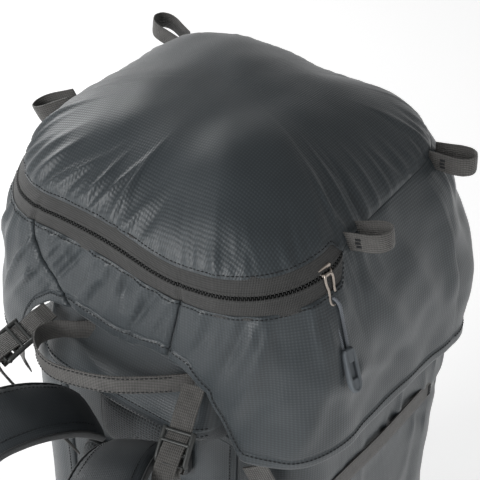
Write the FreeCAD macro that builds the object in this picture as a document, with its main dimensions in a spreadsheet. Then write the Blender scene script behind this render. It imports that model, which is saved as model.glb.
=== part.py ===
"""Hiking backpack of about 65 litres with a zipped floating lid.

Millimetres. +Z is up, +X is the wearer's left, and the harness side faces -Y.
The origin is the middle of the base, on the ground.
"""
import FreeCAD, Part
import math
import os
from FreeCAD import Placement, Rotation, Vector
from Sketcher import Constraint

SIDES = {"left": 1, "right": -1}
UP = Vector(0, 0, 1)
REARWARD = Vector(0, -1, 0)
FORWARD = Vector(0, 1, 0)

# Driving dimensions. Each one is a cell of the sheet, and its name is the cell's alias.
DIMENSIONS = {
    # webbing and cloth
    "webbing_wide": 20, "webbing_thick": 1.8, "narrow_webbing": 16, "cloth": 3, "edge_round": 4,
    # sack
    "sack_half": 150, "sack_back": 120, "sack_front": 129, "wall_top": 458, "deck_top": 470,
    "base_half": 132, "base_back": 108, "base_front": 111, "base_flare": 45, "sack_corner": 55,
    "base_corner": 45, "base_thick": 4, "collar_half": 94, "collar_front": 100,
    "collar_top": 560, "collar_corner": 40, "back_half": 94, "eyelet_outer": 6, "eyelet_inner": 3,
    # frame and back padding
    "sheet_wide": 180, "sheet_high": 385, "sheet_thick": 2, "sheet_low": 52,
    "stay_wide": 12, "stay_thick": 3, "stay_out": 52, "stay_high": 370,
    "pad_wide": 62, "pad_high": 215, "pad_thick": 18, "pad_low": 165, "pad_out": 60,
    "lumbar_wide": 170, "lumbar_high": 95, "lumbar_thick": 24, "lumbar_low": 50,
    "yoke_wide": 96, "yoke_high": 58, "yoke_thick": 14, "yoke_low": 396,
    "cap_half": 92, "cap_top": 543, "cap_fold_out": 156, "cap_fold_high": 488, "cap_low": 452,
    # lid
    "lid_half": 168, "lid_rear": 146, "lid_fore": 152, "lid_low": 480, "lid_waist": 560,
    "lid_corner": 90, "crown_half": 140, "crown_rear": 118, "crown_fore": 127, "crown_high": 640,
    "crown_corner": 60, "lid_top_high": 700, "seam_high": 650, "arch_half": 104, "arch_top": 547,
    "arch_foot": 126, "floor_high": 568, "floor_thick": 2, "lid_hinge_back": 142, "lid_hinge_high": 548,
    # lid zip: a U in a plane that tilts down towards the back
    "zip_corner": 67, "zip_centre_out": 72, "zip_centre_back": 62, "zip_high": 636, "zip_tilt": 10,
    "zip_end": 4, "zip_tape": 10, "zip_tape_thick": 1.2, "coil_half": 2, "coil_thick": 2.2, "zip_room": 24,
    "slider_at": 13.5, "slider_long": 12, "slider_thick": 2.4, "slider_gap": 2.6, "slider_half": 5.5,
    "bail_long": 24, "bail_wide": 9, "bail_wire": 2, "pull_cord": 2.8, "grip_long": 34, "grip_wide": 11,
    "grip_thick": 7, "pull_lean": 21.5,
    # loops on the lid seam and the haul loop
    "loop_out": 36, "loop_half": 12, "loop_high": 16, "loop_rear_at": 40, "loop_fore_at": 94,
    "haul_back": 147, "haul_low": 522,
    # load lifters
    "lock_wide": 29, "lock_long": 27, "lock_thick": 5, "lock_window": 21, "lock_slot": 5,
    "lifter_pad_wide": 22, "lifter_pad_thick": 4,
    # shoulder straps
    "strap_wide": 60, "strap_thick": 15, "strap_root_out": 34, "strap_root_back": 168,
    "strap_root_high": 460, "strap_pad_end": 205, "strap_web_end": 285,
    # hip belt
    "wing_high": 78, "wing_low": 62, "wing_thick": 14, "wing_out": 94, "wing_back": 140,
    # pockets, straps and zip of the sack
    "pocket_deep": 26, "pocket_half": 66, "pocket_low": 8, "pocket_high": 172,
    "stash_half": 92, "stash_deep": 20, "stash_low": 118, "stash_high": 262, "bottom_zip_high": 90,
    "bottom_zip_half": 88, "bottom_slider_long": 14, "strap_low_at": 250, "strap_high_at": 395,
    "side_strap_long": 170,
    # lid buckles
    "buckle_out": 72, "buckle_wide": 34, "buckle_thick": 9, "sleeve_long": 24, "tongue_long": 18,
    "prong_wide": 25, "prong_thick": 3, "prong_long": 12, "buckle_play": 0.8, "lid_strap_long": 14,
}

doc = FreeCAD.newDocument("hiking_backpack")
sheet = doc.addObject("Spreadsheet::Sheet", "dims")
for row, (alias, value) in enumerate(DIMENSIONS.items(), 1):
    sheet.set(f"A{row}", alias)
    sheet.set(f"B{row}", str(value))
    sheet.setAlias(f"B{row}", alias)
doc.recompute()


def cell(name):
    """A driving dimension, read back from the sheet."""
    return float(sheet.get(name))


# ---------------------------------------------------------------- ways of making a piece

nodes = []


def stand(position, up, facing):
    """The placement that turns local Y to up and local Z to facing, at a position."""
    up = Vector(up).normalize()
    across = up.cross(Vector(facing)).normalize()
    return Placement(Vector(position), Rotation(across, up, across.cross(up), "XYZ"))


def solid_node(label, shape, placement=None):
    """A piece whose curved shape is made with Part's own functions."""
    piece = doc.addObject("Part::Feature", label)
    piece.Shape = shape
    if placement:
        piece.Placement = placement
    piece.Label = label
    nodes.append(piece)
    return piece


def new_body(label, placement):
    body = doc.addObject("PartDesign::Body", label)
    body.Label = label
    body.Placement = placement
    nodes.append(body)
    return body


def rectangle_sketch(body, name, wide, high, rise=None):
    """A rectangle that is symmetric about local Y, with its lower edge rise above the origin."""
    sketch = body.newObject("Sketcher::SketchObject", name)
    plane = next(item for item in body.Origin.OriginFeatures if item.Role == "XY_Plane")
    sketch.AttachmentSupport = (plane, "")
    sketch.MapMode = "FlatFace"
    low = 0 if rise is None else 5
    points = [Vector(-10, low, 0), Vector(10, low, 0), Vector(10, low + 20, 0), Vector(-10, low + 20, 0)]
    for start, end in zip(points, points[1:] + points[:1]):
        sketch.addGeometry(Part.LineSegment(start, end), False)
    for line in range(4):
        sketch.addConstraint(Constraint("Coincident", line, 2, (line + 1) % 4, 1))
    sketch.addConstraint(Constraint("Horizontal", 2))
    for line in (1, 3):
        sketch.addConstraint(Constraint("Vertical", line))
    sketch.addConstraint(Constraint("Symmetric", 0, 1, 0, 2, -2))
    if rise is None:
        sketch.addConstraint(Constraint("PointOnObject", 0, 1, -1))
    else:
        sketch.addConstraint(Constraint("DistanceY", -1, 1, 0, 1, 5))
        sketch.renameConstraint(sketch.ConstraintCount - 1, "rise")
        sketch.setExpression("Constraints.rise", rise)
    sketch.addConstraint(Constraint("DistanceX", 0, 1, 0, 2, 20))
    sketch.renameConstraint(sketch.ConstraintCount - 1, "wide")
    sketch.setExpression("Constraints.wide", wide)
    sketch.addConstraint(Constraint("DistanceY", 1, 1, 1, 2, 20))
    sketch.renameConstraint(sketch.ConstraintCount - 1, "high")
    sketch.setExpression("Constraints.high", high)
    return sketch


def group(label, *pieces):
    """Like pieces that share one node, as separate solids."""
    compound = doc.addObject("Part::Compound", label)
    compound.Links = list(pieces)
    compound.Label = label
    for piece in pieces:
        nodes.remove(piece)
    nodes.append(compound)
    return compound


def named(*labels):
    return [piece for piece in nodes if piece.Label in labels]


def both(stem):
    """Joins a left and a right piece in one node."""
    group(stem + "s", *named(stem + "_left", stem + "_right"))


def plate(label, wide, high, thick, placement, corner=None):
    """A flat piece: a rectangle padded along local Z, standing on its lower edge."""
    body = new_body(label, placement)
    outline = rectangle_sketch(body, label + "_outline", wide, high)
    pad = body.newObject("PartDesign::Pad", label + "_pad")
    pad.Profile = outline
    pad.setExpression("Length", thick)
    outline.Visibility = False
    doc.recompute()
    if corner:
        upright = [
            f"Edge{number}"
            for number, edge in enumerate(pad.Shape.Edges, 1)
            if abs(edge.tangentAt(edge.FirstParameter).z) > 0.99
        ]
        fillet = body.newObject("PartDesign::Fillet", label + "_corners")
        fillet.Base = (pad, upright)
        fillet.setExpression("Radius", corner)
    return body


def window(body, label, wide, high, rise, depth=None, reverse=True):
    """A rectangular pocket through a plate, or as deep as stated."""
    outline = rectangle_sketch(body, label + "_outline", wide, high, rise)
    pocket = body.newObject("PartDesign::Pocket", label)
    pocket.Profile = outline
    pocket.Reversed = reverse
    if depth:
        pocket.setExpression("Length", depth)
    else:
        pocket.Type = "ThroughAll"
    doc.recompute()
    return pocket


def tangent_path(points, radius=None):
    """Straight runs joined by tangent arcs; with no radius, each arc is as large as its runs allow."""
    points = [Vector(*point) for point in points]
    edges = []
    start = points[0]
    radii = []
    for before, corner, after in zip(points, points[1:], points[2:]):
        inward = (corner - before).normalize()
        outward = (after - corner).normalize()
        half_turn = inward.getAngle(outward) / 2
        shorter = min((corner - before).Length, (after - corner).Length)
        setback = radius * math.tan(half_turn) if radius else 0.45 * shorter
        radii.append(setback / math.tan(half_turn))
        first = corner - inward * setback
        last = corner + outward * setback
        bisector = (outward - inward).normalize()
        middle = corner + bisector * radii[-1] * (1 / math.cos(half_turn) - 1)
        edges.append(Part.LineSegment(start, first).toShape())
        edges.append(Part.Arc(first, middle, last).toShape())
        start = last
    edges.append(Part.LineSegment(start, points[-1]).toShape())
    return Part.Wire(edges), radii


def band(path, thick, low, high):
    """A strip that follows a path in the XY plane, thick across it, from low to high in Z."""
    start = path.Edges[0].valueAt(path.Edges[0].FirstParameter)
    along = path.Edges[0].tangentAt(path.Edges[0].FirstParameter)
    across = along.cross(UP).normalize() * (thick / 2)
    corners = [start - across + UP * low, start + across + UP * low,
               start + across + UP * high, start - across + UP * high]
    section = Part.makePolygon(corners + corners[:1])
    return path.makePipeShell([section], True, False)


def tube(path, diameter):
    """A round cord along a path."""
    start = path.Edges[0].valueAt(path.Edges[0].FirstParameter)
    along = path.Edges[0].tangentAt(path.Edges[0].FirstParameter)
    section = Part.Wire([Part.makeCircle(diameter / 2, start, along)])
    return path.makePipeShell([section], True, False)


def rounded_section(z, half, rear, fore, corner):
    """A rounded rectangle at height z, from y = -rear to y = fore."""
    inner = half - corner
    back = corner - rear
    front = fore - corner
    diagonal = corner * math.sqrt(0.5)
    edges = []
    arcs = [(inner, back, 1, -1), (inner, front, 1, 1), (-inner, front, -1, 1), (-inner, back, -1, -1)]
    ends = []
    for x, y, right, fwd in arcs:
        side_point = Vector(x + right * corner, y, z)
        end_point = Vector(x, y + fwd * corner, z)
        middle = Vector(x + right * diagonal, y + fwd * diagonal, z)
        first, last = (end_point, side_point) if right * fwd < 0 else (side_point, end_point)
        ends.append((first, middle, last))
    for (first, middle, last), following in zip(ends, ends[1:] + ends[:1]):
        edges.append(Part.Arc(first, middle, last).toShape())
        edges.append(Part.LineSegment(last, following[0]).toShape())
    return Part.Wire(edges)


def loft(sections):
    return Part.makeLoft([rounded_section(*section) for section in sections], True, True)


def skin(sections, thick, open_top=True):
    """The wall between a loft and the same loft drawn in by its thickness, open at the bottom."""
    inner = [(z, half - thick, rear - thick, fore - thick, corner - thick)
             for z, half, rear, fore, corner in sections]
    if open_top:
        inner[-1] = (inner[-1][0] + 1,) + inner[-1][1:]
    else:
        inner[-1] = (inner[-1][0] - thick,) + inner[-1][1:]
    inner[0] = (inner[0][0] - 1,) + inner[0][1:]
    return loft(sections).cut(loft(inner))


def block(low, high):
    size = Vector(*high) - Vector(*low)
    return Part.makeBox(size.x, size.y, size.z, Vector(*low))


def side_profile(points, half=400):
    """A cutter: an outline in (y, z), as wide as the pack in x."""
    face = Part.Face(Part.makePolygon([Vector(-half, y, z) for y, z in points + points[:1]]))
    return face.extrude(Vector(2 * half, 0, 0))


def rear_profile(points, low, high):
    """A cutter: an outline in (x, z), from low to high in y."""
    face = Part.Face(Part.makePolygon([Vector(x, low, z) for x, z in points + points[:1]]))
    return face.extrude(Vector(0, high - low, 0))


# ---------------------------------------------------------------- sack: base, walls, deck, collar

cloth = cell("cloth")
wall_top = cell("wall_top")
back = cell("sack_back")
front = cell("sack_front")
sack_half = cell("sack_half")
base_section = (cell("base_thick"), cell("base_half"), cell("base_back"), cell("base_front"),
                cell("base_corner"))
flare_section = (cell("base_flare"), sack_half - 4, back, front - 4, cell("sack_corner"))
sack_sections = [base_section, flare_section, (wall_top, sack_half, back, front, cell("sack_corner"))]
sack_wall = skin(sack_sections, cloth)

base_outline = rounded_section(0, *base_section[1:])
solid_node("base_panel", Part.Face(base_outline).extrude(Vector(0, 0, cell("base_thick"))))

split = cell("back_half")
solid_node("back_panel", sack_wall.common(block((-split, -200, 0), (split, 0, wall_top))))
solid_node("front_panel", sack_wall.common(block((-split, 0, 0), (split, 200, wall_top))))
solid_node("left_side_panel", sack_wall.common(block((split, -200, 0), (200, 200, wall_top))))
solid_node("right_side_panel", sack_wall.common(block((-200, -200, 0), (-split, 200, wall_top))))

# The deck closes the sack in from its walls to the narrower collar.
deck_top = cell("deck_top")
collar_section = (cell("collar_half"), back, cell("collar_front"), cell("collar_corner"))
deck_outer = loft([(wall_top, sack_half, back, front, cell("sack_corner")),
                   (deck_top, sack_half - 12, back - 2, front - 10, cell("sack_corner") - 5)])
deck_hole = block((2 * cloth - collar_section[0], 2 * cloth - back, wall_top - 1),
                  (collar_section[0] - 2 * cloth, collar_section[2] - 2 * cloth, deck_top + 1))
solid_node("deck_panel", deck_outer.cut(deck_hole))

collar = [(deck_top, collar_section[0], back - 2, collar_section[2], collar_section[3]),
          (cell("collar_top"), collar_section[0], back - 2, collar_section[2], collar_section[3])]
solid_node("collar", skin(collar, 2))

# Eyelets of the drawcord channel, in two rows near the collar's mouth.
eyelets = []
for y in (-(back - 2), collar_section[2] - 1):
    for x in (-45, -15, 15, 45):
        centre = Vector(x, y - 0.5, cell("collar_top") - 14)
        ring = Part.makeCylinder(cell("eyelet_outer"), 0.5, centre, FORWARD)
        eyelets.append(ring.cut(Part.makeCylinder(cell("eyelet_inner"), 0.5, centre, FORWARD)))
for ring in eyelets[4:]:
    ring.translate(Vector(0, 1.5, 0))
solid_node("collar_eyelets", Part.makeCompound(eyelets))

# ---------------------------------------------------------------- frame and back padding

inside_back = -(back - cloth)
plate("frame_sheet", "dims.sheet_wide", "dims.sheet_high", "dims.sheet_thick",
      stand((0, inside_back + 4, cell("sheet_low")), UP, FORWARD), "dims.edge_round")
for side, sign in SIDES.items():
    plate(f"frame_stay_{side}", "dims.stay_wide", "dims.stay_high", "dims.stay_thick",
          stand((sign * cell("stay_out"), inside_back + 6.5, cell("sheet_low") + 5), UP, FORWARD),
          "dims.edge_round")
    plate(f"back_pad_{side}", "dims.pad_wide", "dims.pad_high", "dims.pad_thick",
          stand((sign * cell("pad_out"), -back - 0.3, cell("pad_low")),
                Vector(-0.08 * sign, 0, 1), REARWARD), "4 * dims.edge_round")
plate("lumbar_pad", "dims.lumbar_wide", "dims.lumbar_high", "dims.lumbar_thick",
      stand((0, -back - 0.3, cell("lumbar_low")), UP, REARWARD), "5 * dims.edge_round")
plate("harness_yoke", "dims.yoke_wide", "dims.yoke_high", "dims.yoke_thick",
      stand((0, -back - 0.3, cell("yoke_low")), UP, REARWARD), "3 * dims.edge_round")

# The cap is the padded top of the back panel, folded over the head of the frame.
fold_out = -cell("cap_fold_out")
fold_high = cell("cap_fold_high")
cap_outline = [(-back - 0.5, cell("cap_low") + 6), (fold_out + 12, fold_high - 22), (fold_out, fold_high - 4),
               (fold_out + 2, fold_high + 6), (-137, cell("cap_top") - 4), (-131, cell("cap_top")),
               (-back - 0.5, cell("cap_top") - 3)]
cap = side_profile(cap_outline, cell("cap_half"))
long_edges = [edge for edge in cap.Edges if edge.Length > 1.9 * cell("cap_half")]
solid_node("frame_cap", cap.makeFillet(2, long_edges))

# ---------------------------------------------------------------- lid: shell, split into its panels

low = cell("lid_low")
waist = cell("lid_waist")
high = cell("crown_high")
crown = (cell("crown_half"), cell("crown_rear"), cell("crown_fore"))
lid_sections = [
    (low, cell("lid_half") + 2, cell("lid_rear"), cell("lid_fore"), cell("lid_corner")),
    (waist, cell("lid_half"), cell("lid_rear"), cell("lid_fore"), cell("lid_corner")),
    (high, *crown, cell("crown_corner")),
    (high + 32, crown[0] - 28, crown[1] - 28, crown[2] - 29, 50),
    (high + 50, crown[0] - 62, crown[1] - 60, crown[2] - 63, 38),
    (cell("lid_top_high"), crown[0] - 105, crown[1] - 98, crown[2] - 102, 18),
]
lid_shell = skin(lid_sections, cloth, open_top=False)
arch = rear_profile(
    [(-cell("arch_foot"), low - 5), (cell("arch_foot"), low - 5),
     (cell("arch_half"), cell("arch_top") - 14), (cell("arch_half") - 16, cell("arch_top")),
     (16 - cell("arch_half"), cell("arch_top")), (-cell("arch_half"), cell("arch_top") - 14)], -200, -70)
lid_shell = lid_shell.cut(arch)

# The zip's own frame: local XY is its tilted plane, and local Y = 0 is where its corner arcs begin.
zip_frame = Placement(Vector(0, -cell("zip_centre_back"), cell("zip_high")),
                      Rotation(Vector(1, 0, 0), cell("zip_tilt")))
zip_radius = cell("zip_corner")
zip_out = cell("zip_centre_out")


def zip_point(angle, radius=zip_radius, z=0, sign=1):
    """A point of the zip's corner, at an angle in degrees back from straight outboard."""
    turn = math.radians(angle)
    return Vector(sign * (zip_out + radius * math.cos(turn)), -radius * math.sin(turn), z)


def zip_path():
    left = Part.Arc(*[zip_point(angle) for angle in (cell("zip_end"), 45, 90)]).toShape()
    across = Part.LineSegment(zip_point(90), zip_point(90, sign=-1)).toShape()
    right = Part.Arc(*[zip_point(angle, sign=-1) for angle in (90, 45, cell("zip_end"))]).toShape()
    return Part.Wire([left, across, right])


room = cell("coil_half") + cell("zip_tape") + 0.5
zip_room = band(zip_path(), cell("zip_room"), -room, room)
zip_room.Placement = zip_frame
lid_cloth = lid_shell.cut(zip_room)

zip_y = -cell("zip_centre_back")
seam = cell("seam_high")
rise_at_back = room + cell("zip_high") - 240 * math.tan(math.radians(cell("zip_tilt")))
above_seam = side_profile([(zip_y - 240, rise_at_back), (zip_y, cell("zip_high") + room), (zip_y + 4, seam),
                           (300, seam), (300, 800), (zip_y - 240, 800)])
solid_node("lid_top_panel", lid_cloth.common(above_seam))
lid_skirt = lid_cloth.cut(above_seam)
side_from = cell("lid_half") - cell("lid_corner")
rear_cut = block((-side_from, -300, 0), (side_from, 0, 800))
front_cut = block((-side_from, 0, 0), (side_from, 300, 800))
solid_node("lid_rear_panel", lid_skirt.common(rear_cut))
solid_node("lid_front_panel", lid_skirt.common(front_cut))
solid_node("lid_left_panel", lid_skirt.common(block((side_from, -300, 0), (400, 300, 800))))
solid_node("lid_right_panel", lid_skirt.common(block((-400, -300, 0), (-side_from, 300, 800))))
floor_outline = rounded_section(cell("floor_high"), cell("lid_half") - 8, cell("lid_rear") - 9,
                                cell("lid_fore") - 8, cell("lid_corner") - 8)
solid_node("lid_floor", Part.Face(floor_outline).extrude(Vector(0, 0, cell("floor_thick"))))

# ---------------------------------------------------------------- lid zip, slider and puller

coil = cell("coil_half")
tape = cell("zip_tape")
solid_node("zip_tape_upper", band(zip_path(), cell("zip_tape_thick"), coil + 0.3, coil + tape), zip_frame)
solid_node("zip_tape_lower", band(zip_path(), cell("zip_tape_thick"), -coil - tape, -coil - 0.3), zip_frame)
solid_node("zip_coil", band(zip_path(), cell("coil_thick"), -coil, coil), zip_frame)


def zip_sector(inner, outer, middle, span, half_high):
    """A plate curved about the zip's corner axis."""
    first, last = middle - span / 2, middle + span / 2
    outline = Part.Wire([
        Part.Arc(*[zip_point(angle, inner, -half_high) for angle in (first, middle, last)]).toShape(),
        Part.LineSegment(zip_point(last, inner, -half_high), zip_point(last, outer, -half_high)).toShape(),
        Part.Arc(*[zip_point(angle, outer, -half_high) for angle in (last, middle, first)]).toShape(),
        Part.LineSegment(zip_point(first, outer, -half_high), zip_point(first, inner, -half_high)).toShape(),
    ])
    return Part.Face(outline).extrude(Vector(0, 0, 2 * half_high))


slider_span = math.degrees(cell("slider_long") / zip_radius)
slider_at = cell("slider_at")
gap = cell("slider_gap")
thick = cell("slider_thick")
half_high = cell("slider_half")
outer_plate = zip_sector(zip_radius + gap, zip_radius + gap + thick, slider_at, slider_span, half_high)
inner_plate = zip_sector(zip_radius - gap - thick, zip_radius - gap, slider_at, slider_span, half_high)
solid_node("zip_slider", Part.makeCompound([outer_plate, inner_plate]), zip_frame)

# The puller hangs down the side of the lid. Its frame: local Y runs up it, local Z away from the lid.
radial = Vector(math.cos(math.radians(slider_at)), -math.sin(math.radians(slider_at)), 0)
pull_top = zip_frame.multVec(zip_point(slider_at, zip_radius + gap + thick + 2.2, 0))
pull_up = (UP - radial * math.tan(math.radians(cell("pull_lean")))).normalize()
pull_frame = stand(pull_top, pull_up, radial)
bail_long = cell("bail_long")
bail = plate("zip_pull_bail", "dims.bail_wide", "dims.bail_long", "dims.bail_wire",
             pull_frame.multiply(Placement(Vector(0, -bail_long, 0), Rotation())), "dims.bail_wire")
window(bail, "bail_eye", "dims.bail_wide - 2 * dims.bail_wire", "dims.bail_long - 3 * dims.bail_wire",
       "dims.bail_wire")

# The cord is one loop: up from the grip, through the bail's lower end and back to the grip.
grip_top = -62
cord_route = [(-2.2, grip_top, 1), (-2.6, grip_top + 15, 0.8), (-2.2, grip_top + 29, -0.4),
              (-1.9, -bail_long - 3.2, -2.4), (-1.0, -bail_long + 4.4, -2.2), (-0.4, -bail_long + 5.2, 3.6),
              (1.4, -bail_long - 0.6, 5.2), (2.4, grip_top + 29, 3.2), (2.7, grip_top + 15, 1.6),
              (2.2, grip_top, 1)]
cord_path, cord_radii = tangent_path(cord_route)
print("pull cord", round(cord_path.Length, 1), "mm, arc radii", [round(radius, 1) for radius in cord_radii])
solid_node("zip_pull_cord", tube(cord_path, cell("pull_cord")), pull_frame)

grip = plate("zip_pull_grip", "dims.grip_wide", "dims.grip_long", "dims.grip_thick",
             pull_frame.multiply(Placement(Vector(0, grip_top - cell("grip_long"), -0.8), Rotation())),
             "dims.bail_wire")
window(grip, "grip_slot", "dims.grip_wide - 8", "dims.grip_long - 14", "5")

# ---------------------------------------------------------------- webbing loops

loop_half = cell("loop_half")
loop_out = cell("loop_out")
webbing = cell("webbing_thick")


def lid_loop(label, root, outward):
    """A short loop of webbing, both ends sewn into the seam between the top and a side panel."""
    points = [(0, -loop_half + 1, 0), (loop_out * 0.72, -loop_half - 1, 0), (loop_out, 0, 0),
              (loop_out * 0.72, loop_half + 1, 0), (0, loop_half - 1, 0)]
    path, _ = tangent_path(points, 6)
    height = cell("loop_high")
    outward = Vector(*outward).normalize()
    tall = (UP - outward * outward.dot(UP)).normalize()
    solid_node(label, band(path, webbing, -height / 2, height / 2),
               Placement(Vector(*root), Rotation(outward, tall.cross(outward), tall, "XYZ")))


# The loops on the wearer's right droop; those on the left stand out.
lid_loop("lid_loop_rear_left", (crown[0] + 3.6, -cell("loop_rear_at"), seam - 6), (30, 8, 6))
lid_loop("lid_loop_front_left", (crown[0] + 1, cell("loop_fore_at") - 10, seam - 4), (36, 6, 2))
lid_loop("lid_loop_rear_right", (-crown[0] - 8.5, 4 - cell("loop_rear_at"), seam - 4), (-36, -15, -18))
lid_loop("lid_loop_front_right", (-crown[0] - 1, cell("loop_fore_at") + 4, seam - 2), (-36, 7, -4))

haul_points = [(56, 0, 0), (22, -34, 0), (-30, -50, 0), (-66, -26, 0), (-44, 0, 0)]
haul_path, _ = tangent_path(haul_points, 13)
solid_node("haul_loop", band(haul_path, webbing, 0, cell("webbing_wide")),
           Placement(Vector(0, -cell("haul_back"), cell("haul_low")), Rotation()))

# ---------------------------------------------------------------- load lifters


def strip(label, start, end, facing, wide, thick, corner=None):
    """A straight flat strip from start to end."""
    start, end = Vector(*start), Vector(*end)
    return plate(label, wide, str((end - start).Length), thick, stand(start, end - start, facing), corner)


# The right lifter is pulled up tighter than the left one, so its ladderlock sits higher.
locks = {"left": Vector(85, -190, 492), "right": Vector(-88, -192, 512)}
for side, sign in SIDES.items():
    lock = locks[side]
    lifter_end = Vector(sign * 74, -147.5, 535)
    lifter_up = (lifter_end - lock).normalize()
    facing = Vector(0, -lifter_up.z, lifter_up.y)
    ladder = plate(f"ladderlock_{side}", "dims.lock_wide", "dims.lock_long", "dims.lock_thick",
                   stand(lock, lifter_up, facing), "dims.edge_round")
    for number, rise in enumerate(("4", "11", "18")):
        window(ladder, f"ladderlock_{side}_slot_{number}", "dims.lock_window", "dims.lock_slot", rise)
    clear = lock + lifter_up * (cell("lock_long") + 1)
    strip(f"lifter_webbing_{side}", clear, lifter_end, facing, "dims.webbing_wide", "dims.webbing_thick")
    pad_top = lock - lifter_up * 4 - Vector(0, 0, 3)
    strip(f"lifter_pad_{side}", (sign * 64, -145, 384), pad_top, (0, -0.9, 0.2), "dims.lifter_pad_wide",
          "dims.lifter_pad_thick")
    strip(f"lid_anchor_strap_{side}", (sign * 138, -121, 424), (sign * 124, -138, 472),
          (sign * 0.5, -0.9, 0), "dims.webbing_wide", "dims.webbing_thick")

# ---------------------------------------------------------------- shoulder straps

for side, sign in SIDES.items():
    strap_up = Vector(-0.2 * sign, 0, 0.98).normalize()
    outward = Vector(0.38 * sign, -0.92, 0)
    outward = (outward - strap_up * outward.dot(strap_up)).normalize()
    strap_frame = Placement(
        Vector(sign * cell("strap_root_out"), -cell("strap_root_back"), cell("strap_root_high")),
        Rotation(outward, strap_up, outward.cross(strap_up), "XYZ"))
    pad_end = -cell("strap_pad_end")
    strap_points = [(-15, -14, 0), (6, 4, 0), (38, 20, 0), (78, 20, 0), (108, -28, 0), (104, -112, 0), (70, pad_end, 0)]
    strap_path, _ = tangent_path(strap_points, 22)
    half_wide = cell("strap_wide") / 2
    solid_node(f"shoulder_strap_{side}", band(strap_path, cell("strap_thick"), -half_wide, half_wide),
               strap_frame)
    start = Vector(69.4, pad_end - 1.8, 0)
    end = Vector(6, -cell("strap_web_end"), 0)
    strip(f"strap_webbing_{side}", strap_frame.multVec(end), strap_frame.multVec(start),
          strap_frame.Rotation.multVec(Vector(-0.8, 0.6, 0)), "dims.webbing_wide", "dims.webbing_thick")
    inner = sign * half_wide
    chest = strap_frame.multVec(Vector(106, -70, inner * 1.04))
    chest_end = Vector(sign * 22, chest.y, chest.z)
    strip(f"sternum_strap_{side}", chest_end, chest, REARWARD, "dims.narrow_webbing", "dims.webbing_thick")

# ---------------------------------------------------------------- hip belt

for side, sign in SIDES.items():
    wing_points = [(sign * cell("wing_out"), -cell("wing_back"), 0), (sign * 146, -150, 0),
                   (sign * 178, -196, 0), (sign * 172, -262, 0)]
    wing_path, _ = tangent_path(wing_points, 26)
    solid_node(f"hip_wing_{side}", band(wing_path, cell("wing_thick"), 0, cell("wing_high")),
               Placement(Vector(0, 0, cell("wing_low")), Rotation()))
    mid_high = cell("wing_low") + cell("wing_high") / 2
    strip(f"hip_webbing_{side}", (sign * 171.6, -262.5, mid_high), (sign * 168, -290, mid_high), (1, 0, 0),
          "dims.webbing_wide * 1.25", "dims.webbing_thick")

# ---------------------------------------------------------------- pockets, zip and straps of the sack

pocket_half = cell("pocket_half")
pocket_low = cell("pocket_low")
pocket_high = cell("pocket_high")
deep = cell("pocket_deep")
stash_half = cell("stash_half")


def patch_pocket(label, half, depth, low_at, top_at, place):
    """A patch pocket, open at its top, made as a cup whose wall side stays open. Local X leaves the wall."""
    outer = block((0.4, -half, low_at), (depth, half, top_at))
    upright = [edge for edge in outer.Edges
               if edge.BoundBox.XMin > depth - 1 and edge.BoundBox.ZLength > 10]
    outer = outer.makeFillet(12, upright)
    hollow = block((-5, 2 - half, low_at + 2), (depth - 2, half - 2, top_at + 5))
    upright = [edge for edge in hollow.Edges
               if edge.BoundBox.XMin > depth - 3 and edge.BoundBox.ZLength > 10]
    solid_node(label, outer.cut(hollow.makeFillet(10, upright)), place)


for side, sign in SIDES.items():
    turn = Rotation(UP, 0 if sign > 0 else 180)
    patch_pocket(f"side_pocket_{side}", pocket_half, deep, pocket_low + 40, pocket_high,
                 Placement(Vector(sign * sack_half, 0, 0), turn))
patch_pocket("front_pocket", stash_half, cell("stash_deep"), cell("stash_low"), cell("stash_high"),
             Placement(Vector(0, front, 0), Rotation(UP, 90)))

zip_half = cell("bottom_zip_half")
zip_at = cell("bottom_zip_high")
plate("bottom_zip", "2 * dims.bottom_zip_half", "dims.webbing_wide", "dims.webbing_thick",
      stand((0, front + 0.2, zip_at - 10), UP, FORWARD))
plate("bottom_zip_slider", "dims.bottom_slider_long", "dims.slider_half * 2", "dims.slider_thick",
      stand((zip_half - 12, front + 2.6, zip_at - 5.5), UP, FORWARD), "dims.slider_thick")

for side, sign in SIDES.items():
    for level in ("low", "high"):
        height = cell(f"strap_{level}_at")
        plate(f"side_strap_{level}_{side}", "dims.side_strap_long", "dims.webbing_wide",
              "dims.webbing_thick",
              stand((sign * (sack_half + 0.5), 0, height), UP, Vector(sign, 0, 0)))

# ---------------------------------------------------------------- lid buckles

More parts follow.
